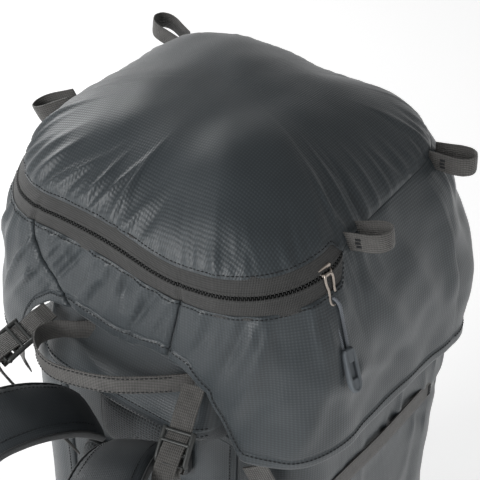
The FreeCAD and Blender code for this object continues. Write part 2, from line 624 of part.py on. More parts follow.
# Tongue and sleeve part along the arc that the lid's front edge swings on.
hinge = Vector(0, -cell("lid_hinge_back"), cell("lid_hinge_high"))
strap_top = Vector(0, cell("lid_fore") - 2.5, low - 2)
for side, sign in SIDES.items():
    reach = strap_top - hinge
    swing = Vector(0, -reach.z, reach.y).normalize()
    facing = Vector(0, swing.z, -swing.y)
    across = Vector(sign * cell("buckle_out"), 0, 0)
    strap_low = strap_top - swing * cell("lid_strap_long")
    strip(f"lid_strap_{side}", strap_low + across, strap_top + across, facing, "dims.webbing_wide",
          "dims.webbing_thick")
    sleeve_low = strap_low - swing * (cell("sleeve_long") + 0.3) - facing * (cell("buckle_thick") / 2)
    sleeve = plate(f"buckle_sleeve_{side}", "dims.buckle_wide", "dims.buckle_thick", "dims.sleeve_long",
                   stand(sleeve_low + across, facing, swing), "2")
    window(sleeve, f"sleeve_mouth_{side}", "dims.prong_wide + 2 * dims.buckle_play",
           "dims.prong_thick + 2 * dims.buckle_play",
           "(dims.buckle_thick - dims.prong_thick) / 2 - dims.buckle_play", "dims.prong_long + 3")
    tongue_low = sleeve_low - swing * (cell("tongue_long") + 0.4)
    tongue = plate(f"buckle_tongue_{side}", "dims.buckle_wide", "dims.buckle_thick", "dims.tongue_long",
                   stand(tongue_low + across, facing, swing), "2")
    prong = rectangle_sketch(tongue, f"prong_{side}_outline", "dims.prong_wide", "dims.prong_thick",
                             "(dims.buckle_thick - dims.prong_thick) / 2")
    pad = tongue.newObject("PartDesign::Pad", f"prong_{side}")
    pad.Profile = prong
    pad.setExpression("Length", "dims.tongue_long + dims.prong_long")
    anchor = Vector(sign * cell("buckle_out"), front + 1.2, 372)
    web_top = tongue_low + across + facing * (cell("buckle_thick") / 2) - swing * 0.4
    strip(f"front_strap_{side}", anchor, web_top, FORWARD, "dims.webbing_wide", "dims.webbing_thick")

for stem in ("frame_stay", "lid_strap", "buckle_sleeve", "buckle_tongue", "front_strap", "ladderlock",
             "lifter_webbing", "lifter_pad", "lid_anchor_strap"):
    both(stem)
for side in SIDES:
    group(f"side_straps_{side}", *named(f"side_strap_low_{side}", f"side_strap_high_{side}"))

# ---------------------------------------------------------------- checks and export

doc.recompute()
for item in doc.Objects:
    if "Invalid" in item.State or "Error" in item.State:
        raise RuntimeError(f"{item.Label} failed: {item.State}")
for piece in nodes:
    if piece.Shape.isNull() or not piece.Shape.isValid() or piece.Shape.Volume <= 0:
        raise RuntimeError(f"{piece.Label} has no valid shape")

cord_volume = math.pi * cell("pull_cord") ** 2 / 4 * cord_path.Length
for piece in nodes:
    if piece.Label == "zip_pull_cord" and abs(piece.Shape.Volume / cord_volume - 1) > 0.02:
        raise RuntimeError("the pull cord's volume isn't its section times its length")

os.makedirs("parts", exist_ok=True)
for piece in nodes:
    piece.Shape.exportStep(f"parts/{piece.Label}.step")
print(len(nodes), "pieces")
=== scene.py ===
"""Looks of the hiking backpack: coated nylon shell, webbing, zip, padding and trims, in metres."""
import math
import random

import bmesh
import bpy
import numpy as np
from mathutils import Matrix, Vector, noise


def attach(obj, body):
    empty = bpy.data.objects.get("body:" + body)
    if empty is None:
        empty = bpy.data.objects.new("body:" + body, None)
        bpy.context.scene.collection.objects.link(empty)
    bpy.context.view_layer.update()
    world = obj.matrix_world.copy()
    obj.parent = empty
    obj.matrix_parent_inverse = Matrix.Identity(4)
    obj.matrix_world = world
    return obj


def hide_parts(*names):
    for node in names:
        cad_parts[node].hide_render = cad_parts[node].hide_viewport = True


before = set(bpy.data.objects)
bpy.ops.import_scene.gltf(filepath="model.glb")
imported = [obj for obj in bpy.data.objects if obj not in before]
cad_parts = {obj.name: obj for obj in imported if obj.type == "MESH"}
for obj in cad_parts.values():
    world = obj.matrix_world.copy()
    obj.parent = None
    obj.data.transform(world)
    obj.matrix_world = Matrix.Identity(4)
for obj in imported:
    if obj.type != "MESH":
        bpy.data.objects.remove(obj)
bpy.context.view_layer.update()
MM = 0.001

# ---------------------------------------------------------------- studio and camera
# A pale floor, a white surround and large soft lights. The camera stands on the harness side, to
# the wearer's left and above the lid, with a long lens.

CAMERA_TURN = math.radians(37.2)
CAMERA_RISE = math.radians(37.2)
CAMERA_AWAY = 1.1974
CAMERA_RIGHT = 0.0043
CAMERA_DOWN = 0.072

scene = bpy.context.scene
scene.view_settings.view_transform = "Standard"
look_back = Vector((math.sin(CAMERA_TURN) * math.cos(CAMERA_RISE),
                    -math.cos(CAMERA_TURN) * math.cos(CAMERA_RISE), math.sin(CAMERA_RISE)))
look_right = Vector((math.cos(CAMERA_TURN), math.sin(CAMERA_TURN), 0))
look_up = look_back.cross(look_right)
lid_seam_middle = Vector((0, 0, 0.640))
camera_data = bpy.data.cameras.new("camera")
camera_data.lens = 112.5
camera_data.sensor_width = 36
camera = bpy.data.objects.new("camera", camera_data)
camera.location = (lid_seam_middle + look_right * CAMERA_RIGHT - look_up * CAMERA_DOWN
                   + look_back * CAMERA_AWAY)
camera.rotation_euler = Matrix((look_right, look_up, look_back)).transposed().to_euler()
scene.collection.objects.link(camera)
scene.camera = camera


def linear(hex_colour):
    """An sRGB hex colour as the linear RGBA that a shader socket takes."""
    channels = [int(hex_colour[i:i + 2], 16) / 255 for i in (1, 3, 5)]
    return [c / 12.92 if c <= 0.04045 else ((c + 0.055) / 1.055) ** 2.4 for c in channels] + [1]


def new_material(name):
    """A new material, its node tree and its Principled shader."""
    material = bpy.data.materials.new(name)
    material.use_nodes = True
    tree = material.node_tree
    shader = next(n for n in tree.nodes if n.type == "BSDF_PRINCIPLED")
    return material, tree, shader


def plug(tree, node, inputs):
    """Fills a node's inputs: an output of another node is linked, anything else is a value."""
    for key, given in inputs.items():
        if isinstance(given, bpy.types.NodeSocket):
            tree.links.new(given, node.inputs[key])
        else:
            node.inputs[key].default_value = given


def add(tree, kind, inputs=None, **settings):
    """Adds one node, sets its properties and fills its inputs."""
    made = tree.nodes.new(kind)
    for key, value in settings.items():
        setattr(made, key, value)
    plug(tree, made, inputs or {})
    return made


# The surround dims from the horizon up, and the camera sees a plain backdrop instead of it.
HORIZON_LIGHT = 0.58
ZENITH_LIGHT = 0.2
DIMS_UNTIL = 0.75
world = bpy.data.worlds.new("surround")
scene.world = world
world.use_nodes = True
sky = world.node_tree
surround = sky.nodes["Background"]
sky_place = add(sky, "ShaderNodeTexCoord")
sky_axes = add(sky, "ShaderNodeSeparateXYZ", {"Vector": sky_place.outputs["Generated"]})
sky_dim = add(sky, "ShaderNodeMapRange", {"Value": sky_axes.outputs[2], "From Max": DIMS_UNTIL,
                                          "To Min": HORIZON_LIGHT, "To Max": ZENITH_LIGHT})
plug(sky, surround, {"Color": linear("#FFFFFF"), "Strength": sky_dim.outputs[0]})
backdrop = add(sky, "ShaderNodeBackground", {"Color": linear("#F8F8F8"), "Strength": 1.0})
ray_kind = add(sky, "ShaderNodeLightPath")
either = add(sky, "ShaderNodeMixShader", {0: ray_kind.outputs["Is Camera Ray"], 1: surround.outputs[0],
                                          2: backdrop.outputs[0]})
plug(sky, sky.nodes["World Output"], {"Surface": either.outputs[0]})

bpy.ops.mesh.primitive_plane_add(size=14, location=(0, 2, 0))
floor = bpy.context.object
floor.name = "floor"
floor_paint, floor_tree, floor_shader = new_material("matt white floor paint")
plug(floor_tree, floor_shader, {"Base Color": linear("#EFEFEF"), "Roughness": 0.9,
                                "Emission Color": linear("#FFFFFF"), "Emission Strength": 0.5})
floor.data.materials.append(floor_paint)


def area_light(name, place, target, size, watts):
    """A square soft light at a place, facing its target."""
    data = bpy.data.lights.new(name, "AREA")
    data.size = size
    data.energy = watts
    lamp = bpy.data.objects.new(name, data)
    lamp.location = place
    lamp.rotation_euler = (Vector(place) - Vector(target)).to_track_quat("Z", "Y").to_euler()
    scene.collection.objects.link(lamp)


area_light("key light", (-0.7, -2.4, 1.3), (0, 0, 0.6), 1.0, 33)
area_light("rim light", (-1.9, 0.5, 1.3), (0, 0, 0.65), 1.0, 18)
area_light("fill light", (2.2, -0.5, 1.1), (0, -0.05, 0.5), 1.2, 1.6)

# ---------------------------------------------------------------- cloth: shared ways of making a panel
# The shell is coated nylon with a dobby weave of small diamonds. Each panel is a grid of points,
# in millimetres, with its cloth coordinates (also in millimetres) as UV, so the weave keeps its size.


CLOTH_PATCH_MM = 50
THREAD_WIDE_MM = 0.625
THREAD_LONG_MM = 2
WEAVE_RELIEF_MM = 0.3


def coated_nylon(name, base, dark, weave, gloss):
    """Coated nylon, dobby woven: satin, raised diamonds catch the light; painted highlight on them, painted
    shade between.
    """
    material, tree, shader = new_material(name)
    uv = add(tree, "ShaderNodeUVMap").outputs[0]
    split = add(tree, "ShaderNodeSeparateXYZ", {"Vector": uv})
    diamonds = []
    for operation in ("ADD", "SUBTRACT"):
        mixed = add(tree, "ShaderNodeMath", {0: split.outputs[0], 1: split.outputs[1]}, operation=operation)
        scaled = add(tree, "ShaderNodeMath", {0: mixed.outputs[0], 1: math.pi / weave}, operation="MULTIPLY")
        diamonds.append(add(tree, "ShaderNodeMath", {0: scaled.outputs[0]}, operation="SINE").outputs[0])
    dots = add(tree, "ShaderNodeMath", {0: diamonds[0], 1: diamonds[1]}, operation="MULTIPLY")
    patch_map = add(tree, "ShaderNodeMapping", {"Vector": uv, "Scale": [1 / CLOTH_PATCH_MM] * 3})
    patches = add(tree, "ShaderNodeTexNoise", {"Vector": patch_map.outputs[0], "Scale": 1.0, "Detail": 4.0})
    thread_map = add(tree, "ShaderNodeMapping", {"Vector": uv,
                                                 "Scale": (1 / THREAD_WIDE_MM, 1 / THREAD_LONG_MM, 1)})
    threads = add(tree, "ShaderNodeTexNoise", {"Vector": thread_map.outputs[0], "Scale": 1.0, "Detail": 2.0})
    tone = add(tree, "ShaderNodeMix", {"Factor": patches.outputs[0], "A": linear(dark), "B": linear(base)},
               data_type="RGBA")
    # Painted highlight and painted shade: the colour is lightened on the diamonds and darkened between them.
    diamond_highlight_and_shade = add(tree, "ShaderNodeMapRange", {"Value": dots.outputs[0], "From Min": -0.2, "To Min": 0.8,
                                              "To Max": 1.3})
    lit = add(tree, "ShaderNodeVectorMath", {0: tone.outputs["Result"], 1: diamond_highlight_and_shade.outputs[0]},
              operation="MULTIPLY")
    height = add(tree, "ShaderNodeMath", {0: dots.outputs[0], 1: threads.outputs[0], 2: threads.outputs[0]},
                 operation="MULTIPLY_ADD")
    relief = add(tree, "ShaderNodeBump", {"Height": height.outputs[0], "Strength": 0.5,
                                          "Distance": WEAVE_RELIEF_MM * MM})
    rough = add(tree, "ShaderNodeMapRange", {"Value": patches.outputs[0], "To Min": gloss,
                                             "To Max": gloss + 0.1})
    plug(tree, shader, {"Base Color": lit.outputs[0], "Normal": relief.outputs[0],
                        "Roughness": rough.outputs[0], "IOR": 1.5, "Sheen Weight": 0.18,
                        "Sheen Roughness": 0.4})
    return material


# The raised diamonds stand 2.3 mm apart, coarse enough to show as dots on the cloth.
DOBBY_PITCH = 2.3
shell_nylon = coated_nylon("dobby woven coated nylon", "#3F464A", "#363C40", DOBBY_PITCH, 0.36)
lining_nylon = coated_nylon("smooth coated nylon, dark", "#33393D", "#2B3034", 0.9, 0.42)


def finish_piece(piece, body, material, replaced=(), smooth=True):
    """Gives a piece its material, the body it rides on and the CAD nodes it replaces."""
    piece.data.materials.clear()
    piece.data.materials.append(material)
    if smooth and piece.type == "MESH":
        piece.data.polygons.foreach_set("use_smooth", [True] * len(piece.data.polygons))
    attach(piece, body)
    if replaced:
        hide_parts(*replaced)
    return piece


def mesh_object(name, points, faces):
    """An object in the scene from points in millimetres and faces."""
    mesh = bpy.data.meshes.new(name)
    mesh.from_pydata((np.asarray(points) * MM).tolist(), [], faces)
    piece = bpy.data.objects.new(name, mesh)
    scene.collection.objects.link(piece)
    return piece


def grid_mesh(name, points, uv, close=False):
    """A mesh from a grid of points in millimetres, rows by columns, with UV in millimetres."""
    rows, columns = points.shape[:2]
    index = np.arange(rows * columns).reshape(rows, columns)
    left = index if close else index[:, :-1]
    right = np.roll(index, -1, axis=1) if close else index[:, 1:]
    faces = np.stack([left[:-1], right[:-1], right[1:], left[1:]], axis=-1).reshape(-1, 4)
    piece = mesh_object(name, points.reshape(-1, 3), faces.tolist())
    layer = piece.data.uv_layers.new(name="UVMap")
    flat = uv.reshape(-1, 2)[faces.reshape(-1)]
    layer.data.foreach_set("uv", flat.astype(np.float32).ravel())
    return piece


CLOTH_THICK = 0.8


def thicken(piece, thick=CLOTH_THICK):
    """Gives a panel its thickness in millimetres, inward from its outer face."""
    solid = piece.modifiers.new("cloth thickness", "SOLIDIFY")
    solid.thickness = thick * MM
    solid.offset = -1.0
    bpy.context.view_layer.update()
    shaped = bpy.data.meshes.new_from_object(piece.evaluated_get(bpy.context.evaluated_depsgraph_get()))
    piece.modifiers.clear()
    piece.data = shaped
    return piece


def unit(vectors):
    """Vectors scaled to a length of one."""
    vectors = np.asarray(vectors, float)
    return vectors / np.maximum(np.linalg.norm(vectors, axis=-1, keepdims=True), 1e-9)


def grid_normals(points, close=False):
    """The normal at each point of a grid."""
    if close:
        along = np.roll(points, -1, axis=1) - np.roll(points, 1, axis=1)
    else:
        along = np.gradient(points, axis=1)
    down = np.gradient(points, axis=0)
    return unit(np.cross(along, down))


def bell(distance, width):
    """One at no distance, falling away smoothly over the width."""
    return np.exp(-(distance / width) ** 2)


def folds(s, d, creases):
    """Height of soft folds at cloth coordinates s, along the ring, and d, down from the seam.

    A crease is its middle in s and d, its angle in degrees, and its length, width and height."""
    height = np.zeros_like(s)
    for s0, d0, angle, length, width, tall in creases:
        turn = math.radians(angle)
        along = (s - s0) * math.cos(turn) + (d - d0) * math.sin(turn)
        across = (d - d0) * math.cos(turn) - (s - s0) * math.sin(turn)
        height += tall * np.exp(-(across / width) ** 2 - (along / length) ** 2)
    return height


ALLOWANCE_RISE = 0.8
ALLOWANCE_AT = 4.5


def sewn_seam(across, deep, groove, allowance):
    """Height across a seam: a groove, and beside it the low ridge of the allowance folded under."""
    return ALLOWANCE_RISE * bell(across - ALLOWANCE_AT, allowance) - deep * bell(across, groove)


def gathers(seed, start, end, edge, angle, spacing, length, width, tall, spread=0.35):
    """Creases that leave a seam, from start to end along s, at d = edge, each turned by about angle.

    Spacing, length, width and height are averages in millimetres. Spread is how far along its own
    length a crease is moved away from the seam."""
    dice = random.Random(seed)
    creases = []
    s = start
    while s < end:
        size = dice.uniform(0.45, 1.25)
        lean = angle + dice.uniform(-12, 12)
        reach = length * size
        creases.append((s + math.cos(math.radians(lean)) * reach * spread,
                        edge + math.sin(math.radians(lean)) * reach * spread,
                        lean, reach, width * dice.uniform(0.7, 1.3), tall * size * dice.choice((1, 1, -0.8))))
        s += spacing * dice.uniform(0.6, 1.5)
    return creases


def ripple(points, size, tall, seed=0.0):
    """Broad unevenness of soft cloth, from smooth noise."""
    flat = points.reshape(-1, 3)
    shift = Vector((seed, -seed, 2 * seed))
    values = [noise.noise(Vector(p) / size + shift) for p in flat.tolist()]
    return np.array(values).reshape(points.shape[:2]) * tall


# ---------------------------------------------------------------- lid panels
# The lid is a floating pocket: a domed top, a skirt of four panels, and a zip along its rear seam.
# The seams pull the cloth into short gathers, most of all above the zip and at the loops.

SIDE_STEPS = 64
CORNER_STEPS = 44
RING_STEPS = 4 * (SIDE_STEPS + CORNER_STEPS)


def ring_place():
    """For each point of the ring: its segment and its share of that segment, clockwise from above."""
    segments = []
    for segment in range(8):
        steps = SIDE_STEPS if segment % 2 == 0 else CORNER_STEPS
        segments += [(segment, step / steps) for step in range(steps)]
    return np.array(segments)


RING = ring_place()


def ring_points(half, rear, fore, corner):
    """Rounded-rectangle points in x and y; each value may be an array as long as the ring."""
    half, rear, fore, corner = [np.broadcast_to(np.asarray(v, float), (len(RING),)) for v in
                                (half, rear, fore, corner)]
    segment, share = RING[:, 0], RING[:, 1]
    x = np.zeros(len(RING))
    y = np.zeros(len(RING))
    inner = half - corner
    back = corner - rear
    front = fore - corner
    lines = {0: (half, front, half, back), 2: (inner, -rear, -inner, -rear),
             4: (-half, back, -half, front), 6: (-inner, fore, inner, fore)}
    for number, (x0, y0, x1, y1) in lines.items():
        here = segment == number
        x[here] = (x0 + (x1 - x0) * share)[here]
        y[here] = (y0 + (y1 - y0) * share)[here]
    arcs = {1: (inner, back, 0), 3: (-inner, back, -90), 5: (-inner, front, -180), 7: (inner, front, -270)}
    for number, (cx, cy, first) in arcs.items():
        here = segment == number
        turn = np.radians(first - 90 * share)
        x[here] = (cx + corner * np.cos(turn))[here]
        y[here] = (cy + corner * np.sin(turn))[here]
    return np.stack([x, y], axis=-1)


def ring_length(xy):
    """Distance round a ring at each of its points, and once round."""
    step = np.linalg.norm(np.roll(xy, -1, axis=0) - xy, axis=1)
    return np.concatenate([[0], np.cumsum(step)[:-1]]), step.sum()


LID_LEVELS = [478, 520, 560, 600, 640, 656]
LID_HALF = [171, 172, 170, 160, 141, 132]
LID_REAR = [147, 149, 149, 142, 130, 122]
LID_FORE = [152, 154, 152, 143, 128, 118]
LID_CORNER = [78, 78, 80, 76, 67, 64]
LID_CURVES = [np.polyfit(LID_LEVELS, values, 3) for values in (LID_HALF, LID_REAR, LID_FORE, LID_CORNER)]


def lid_outline(z):
    """The lid's outline at height z, a smooth curve through its levels."""
    return [np.polyval(curve, z) for curve in LID_CURVES]


seam_xy = ring_points(139.5, 128.5, 127.5, 66)
ring_s, ring_total = ring_length(seam_xy)
SEAM_X, SEAM_Y = seam_xy[:, 0], seam_xy[:, 1]


def seam_height(x, y):
    """Height of the seam line: level in front, dipping along the rear and lowest left of the middle."""
    front = 645 + 0.045 * y
    rear = 636 + (y + 62) * math.tan(math.radians(10))
    sag = -8.0 * bell(x - 40, 44)
    dip = -6.5 * bell(x + 126, 34)
    blend = np.clip((y + 70) / 30, 0, 1)
    blend = blend * blend * (3 - 2 * blend)
    return front * blend + (rear + sag + dip) * (1 - blend)


seam_z = seam_height(SEAM_X, SEAM_Y)
zip_share = 1 - np.clip((SEAM_Y + 66) / 8, 0, 1)
TAPE_SHOWN = 12.2
upper_edge = seam_z + TAPE_SHOWN * zip_share
lower_edge = seam_z - TAPE_SHOWN * zip_share

# Dome: rings that shrink towards the crown, with the gathers fading inward from the seam.
DOME_RINGS = 130
DOME_FOLD_GAIN = 1.5
NEAR_CROWN = 0.2
FLAT_AT_SEAM = 3.5
CROWN = Vector((0, 4, 702))
rings = np.linspace(1, 0.0, DOME_RINGS)
edge_xy = ring_points(*lid_outline(upper_edge))
dome = np.zeros((DOME_RINGS, RING_STEPS, 3))
for row, share in enumerate(rings):
    dome[row, :, 0] = CROWN.x + (edge_xy[:, 0] - CROWN.x) * share
    dome[row, :, 1] = CROWN.y + (edge_xy[:, 1] - CROWN.y) * share
    bulge = (1 - share ** 2.6) ** 0.8
    dome[row, :, 2] = upper_edge + (CROWN.z - upper_edge) * bulge
dome_s = np.broadcast_to(ring_s, (DOME_RINGS, RING_STEPS))
inward = np.linalg.norm(dome - dome[:1], axis=2)


def s_at(x, y):
    """Distance along the ring of the seam point nearest to x, y."""
    return float(ring_s[np.argmin((SEAM_X - x) ** 2 + (SEAM_Y - y) ** 2)])


rear_from = s_at(134, -90)
rear_to = s_at(-134, -90)
dome_creases = gathers(3, rear_from, s_at(20, -128), 0, 74, 12, 20, 3.2, 0.6)
dome_creases += gathers(5, s_at(10, -128), rear_to + 16, 3, 104, 11, 25, 3.0, 1.6, 0.8)
dome_creases += gathers(7, s_at(139, 110), s_at(139, -60), 0, 96, 10, 20, 2.6, 0.75)
dome_creases += gathers(8, s_at(139, 100), s_at(139, 66), 0, 100, 7, 34, 2.8, 1.25)
dome_creases += gathers(9, s_at(139, -22), s_at(139, -62), 0, 84, 7, 40, 3.0, 1.4)
dome_creases += gathers(11, s_at(-139, -70), s_at(-139, 120), 0, 90, 9, 26, 3.0, 0.9)
dome_creases += gathers(12, s_at(-110, 127), ring_total, 0, 90, 14, 28, 3.4, 0.8)
dome_creases += gathers(13, 0, s_at(139, 110), 0, 90, 14, 26, 3.2, 0.8)
dome_height = DOME_FOLD_GAIN * folds(dome_s, inward, dome_creases)
dome_height *= np.clip(rings / NEAR_CROWN, 0, 1)[:, None]
dome_height += ripple(dome, 85, 4.6, 1.0) * np.clip(inward / 40, 0, 1)
dome_height += ripple(dome, 34, 1.5, 4.0) * np.clip(inward / 20, 0, 1)
dome_height *= np.clip(inward / FLAT_AT_SEAM, 0, 1)
dome_normal = -grid_normals(dome, close=True)
upright = np.clip((NEAR_CROWN - rings) / 0.15, 0, 1)[:, None, None]
dome_normal = unit(dome_normal * (1 - upright) + np.array((0, 0, 1)) * upright)
dome += dome_normal * dome_height[:, :, None]
dome_uv = dome[:, :, :2] * 1.06
lid_top = grid_mesh("lid_top_cloth", dome, dome_uv, close=True)
finish_piece(lid_top, "lid", shell_nylon, ["lid_top_panel"])

# Skirt: from the lower zip stitching, or the seam, down to the hem, arched up over the harness.
SKIRT_ROWS = 120
SKIRT_FOLD_GAIN = 1.45
hem_xy = ring_points(*lid_outline(480))
hem = 478 - 14 * np.clip((hem_xy[:, 1] + 20) / 160, 0, 1) ** 1.3
arch = np.interp(np.abs(hem_xy[:, 0]), (0, 45, 72, 90, 100, 108, 116, 130),
                 (547, 552, 547, 531, 512, 491, 479, 478))
hem = np.where(hem_xy[:, 1] < -60, np.maximum(hem, arch), hem)
drop = np.linspace(0, 1, SKIRT_ROWS)[:, None]

# The two rear seams run in towards the hem, so each row's places along the ring are stretched to them.
REAR_SEAMS = [(s_at(50, -128), s_at(38, -128)), (s_at(-84, -128), s_at(-38, -128))]
seam_columns = [int(np.argmin(np.abs(ring_s - top_s))) for top_s, hem_s in REAR_SEAMS]
skirt_s = np.zeros((SKIRT_ROWS, RING_STEPS))
for row in range(SKIRT_ROWS):
    ease = drop[row, 0]
    placed = [top_s + (hem_s - top_s) * ease for top_s, hem_s in REAR_SEAMS]
    skirt_s[row] = np.interp(ring_s, (0, *ring_s[seam_columns], ring_total), (0, *placed, ring_total))
ring_s_round = np.append(ring_s, ring_total)
hem_here = np.interp(skirt_s, ring_s_round, np.append(hem, hem[0]))
skirt_z = lower_edge[None, :] * (1 - drop) + hem_here * drop
skirt = np.zeros((SKIRT_ROWS, RING_STEPS, 3))
for row in range(SKIRT_ROWS):
    level = np.interp(ring_s, skirt_s[row], skirt_z[row])
    outline = ring_points(*lid_outline(level))
    outline = np.concatenate([outline, outline[:1]])
    for axis in (0, 1):
        skirt[row, :, axis] = np.interp(skirt_s[row], ring_s_round, outline[:, axis])
    skirt[row, :, 2] = skirt_z[row]
skirt_d = lower_edge[None, :] - skirt_z
to_hem = skirt_z - hem_here
skirt_creases = gathers(21, rear_from - 8, rear_to, 0, 96, 10, 22, 2.6, 0.8)
skirt_creases += gathers(22, s_at(44, -128), s_at(-80, -128), 2, 70, 8.5, 36, 2.9, 2.6, 0.75)
skirt_creases += gathers(27, s_at(118, -118), s_at(54, -128), 2, 66, 12, 46, 3.8, 2.5, 0.7)
skirt_creases += gathers(28, s_at(-92, -126), s_at(-126, -98), 2, 84, 12, 34, 4.5, 1.8, 0.7)
skirt_creases += gathers(23, s_at(139, 120), s_at(139, -66), 0, 88, 15, 22, 3.0, 0.7)
skirt_creases += gathers(24, s_at(139, 98), s_at(139, 70), 0, 80, 7, 34, 3.0, 1.3)
skirt_creases += gathers(25, s_at(139, -30), s_at(132, -96), 2, 96, 7, 30, 2.6, 1.25)
skirt_creases += gathers(26, s_at(-110, -118), ring_total, 0, 92, 14, 30, 3.4, 0.9)
skirt_creases += [(s_at(139, -20), 78, 118, 62, 9, 2.2), (s_at(139, 20), 70, 108, 70, 11, 2.4),
                  (s_at(139, 60), 88, 84, 60, 10, 2.2), (s_at(126, -100), 90, 72, 58, 9, 2.2),
                  (s_at(108, -120), 70, 64, 56, 8, -2.0), (s_at(139, -50), 100, 140, 46, 7, 1.8),
                  (s_at(139, 95), 60, 100, 60, 10, -2.0), (s_at(136, -84), 60, 100, 40, 7, 1.6)]
skirt_height = SKIRT_FOLD_GAIN * folds(skirt_s, skirt_d, skirt_creases)
skirt_height += ripple(skirt, 75, 7.5, 7.0) * np.clip(skirt_d / 40, 0, 1)
skirt_height += ripple(skirt, 26, 1.6, 9.0) * np.clip(skirt_d / 20, 0, 1)
skirt_height *= np.clip(skirt_d / FLAT_AT_SEAM, 0, 1)
# Above the haul loop the folds stay low, so that the lid swings clear of it.
over_haul_loop = (SEAM_Y < -100)[None, :] & (np.abs(skirt[:, :, 0]) < 90)
skirt_height = np.where(over_haul_loop, np.clip(skirt_height, -5.0, 2.6), skirt_height)
for column in seam_columns:
    skirt_height *= 1 - 0.8 * bell(skirt_s - skirt_s[:, column:column + 1], 7)
HEM_BAND = 9.0
skirt_height += 0.7 * np.clip(1 - np.abs(to_hem - HEM_BAND / 2) / (HEM_BAND / 2 + 0.6), 0, 0.4) / 0.4
skirt_height -= 0.9 * bell(to_hem - HEM_BAND - 1.2, 1.3)
front_seams = [s_at(-92, 127), s_at(92, 127)]
skirt_seams = [skirt_s[:, column:column + 1] for column in seam_columns] + front_seams
for seam_line in skirt_seams:
    skirt_height += sewn_seam(skirt_s - seam_line, 1.8, 1.6, 2.4)
skirt += grid_normals(skirt, close=True) * skirt_height[:, :, None]
skirt_uv = np.stack([skirt_s, skirt_z], axis=-1)


def ring_columns(begin, end):
    """Columns of the ring from one to another, going on past its start."""
    return np.arange(begin, end + 1 if end > begin else end + RING_STEPS + 1) % RING_STEPS


def unwrapped(uv, total):
    """Cloth coordinates that go on growing past the ring's start."""
    uv = uv.copy()
    wrapped = np.diff(uv[0, :, 0], prepend=uv[0, 0, 0]) < -100
    uv[:, :, 0] += np.cumsum(wrapped)[None, :] * total
    return uv


front_columns = [int(np.argmin(np.abs(ring_s - seam_s))) for seam_s in front_seams]
lid_panels = [("left", front_columns[1], seam_columns[0]), ("rear", seam_columns[0], seam_columns[1]),
              ("right", seam_columns[1], front_columns[0]), ("front", front_columns[0], front_columns[1])]
for label, begin, end in lid_panels:
    columns = ring_columns(begin, end)
    panel = grid_mesh(f"lid_{label}_cloth", skirt[:, columns], unwrapped(skirt_uv[:, columns], ring_total))
    finish_piece(thicken(panel), "lid", shell_nylon, [f"lid_{label}_panel"])

# ---------------------------------------------------------------- thread and stitching
# Bonded polyester thread, a shade darker than the cloth. It is lockstitched in short dashes that
# stand a little proud; they are drawn thicker than real thread so that they show.

thread, thread_tree, thread_shader = new_material("bonded polyester thread")
plug(thread_tree, thread_shader, {"Base Color": linear("#1E2124"), "Roughness": 0.6})


def run_length(points):
    """Distance along a line at each of its points."""
    return np.concatenate([[0], np.cumsum(np.linalg.norm(np.diff(points, axis=0), axis=1))])


def stitch_line(points, normals, pitch=3.6, long=2.4, thick=0.5):
    """Short capsules of thread along a line, as vertices and faces in millimetres."""
    points = np.asarray(points, float)
    far = run_length(points)
    verts, faces = [], []
    middle = pitch
    while middle < far[-1] - pitch:
        ends = [np.array([np.interp(middle + h * long / 2, far, points[:, k]) for k in range(3)])
                for h in (-1, 1)]
        normal = np.array([np.interp(middle, far, normals[:, k]) for k in range(3)])
        along = ends[1] - ends[0]
        side = np.cross(along, normal)
        side /= max(np.linalg.norm(side), 1e-9)
        base = len(verts)
        for end, scale in ((ends[0], 0.55), (ends[0] * 0.75 + ends[1] * 0.25, 1),
                           (ends[0] * 0.25 + ends[1] * 0.75, 1), (ends[1], 0.55)):
            for across, up in ((-1, -0.2), (-0.5, 0.8), (0.5, 0.8), (1, -0.2)):
                verts.append(end + (side * across + normal * up) * thick * scale)
        for ring in range(3):
            for corner in range(4):
                a = base + ring * 4 + corner
                b = base + ring * 4 + (corner + 1) % 4
                faces.append((a, b, b + 4, a + 4))
        faces.append((base + 3, base + 2, base + 1, base))
        faces.append((base + 12, base + 13, base + 14, base + 15))
        middle += pitch
    return verts, faces


def stitching(name, lines, body):
    """One piece of thread for several stitched lines, each given as points and normals."""
    verts, faces = [], []
    for points, normals in lines:
        more, quads = stitch_line(points, normals)
        faces += [tuple(i + len(verts) for i in quad) for quad in quads]
        verts += more
    return finish_piece(mesh_object(name, verts, faces), body, thread)


THREAD_LIFT = 0.15
STITCH_INSET = 2.6


def on_grid(points, normals, rows, columns):
    """Points and normals of a surface grid at fractional rows and whole columns."""
    low = np.floor(rows).astype(int)
    share = (rows - low)[:, None]
    high = np.minimum(low + 1, points.shape[0] - 1)
    place = points[low, columns] * (1 - share) + points[high, columns] * share
    return place + normals[low, columns] * THREAD_LIFT, normals[low, columns]


def row_at(distances, wanted):
    """For each column, the fractional row where a distance that grows downwards reaches a value."""
    rows = np.arange(distances.shape[0])
    return np.array([np.interp(wanted, distances[:, c], rows) for c in range(distances.shape[1])])


dome_n = -grid_normals(dome, close=True)
skirt_n = grid_normals(skirt, close=True)
zip_columns = np.where(zip_share > 0.02)[0]
dome_rows = row_at(inward, STITCH_INSET)
skirt_rows = row_at(skirt_d, STITCH_INSET)
hem_rows = SKIRT_ROWS - 1 - row_at(to_hem[::-1], HEM_BAND - 1.0)
lines = [on_grid(dome, dome_n, dome_rows[zip_columns], zip_columns),
         on_grid(skirt, skirt_n, skirt_rows[zip_columns], zip_columns),
         on_grid(skirt, skirt_n, hem_rows, np.arange(RING_STEPS))]
stitching("lid_stitching", lines, "lid")

# ---------------------------------------------------------------- lid zip
# A reverse-coil zip: woven polyester tape shows on both sides of a narrow ridge of nylon teeth. It
# is let into the lid's rear seam and sewn flat along both edges.

TAPE_WEAR_MM = 8.3333


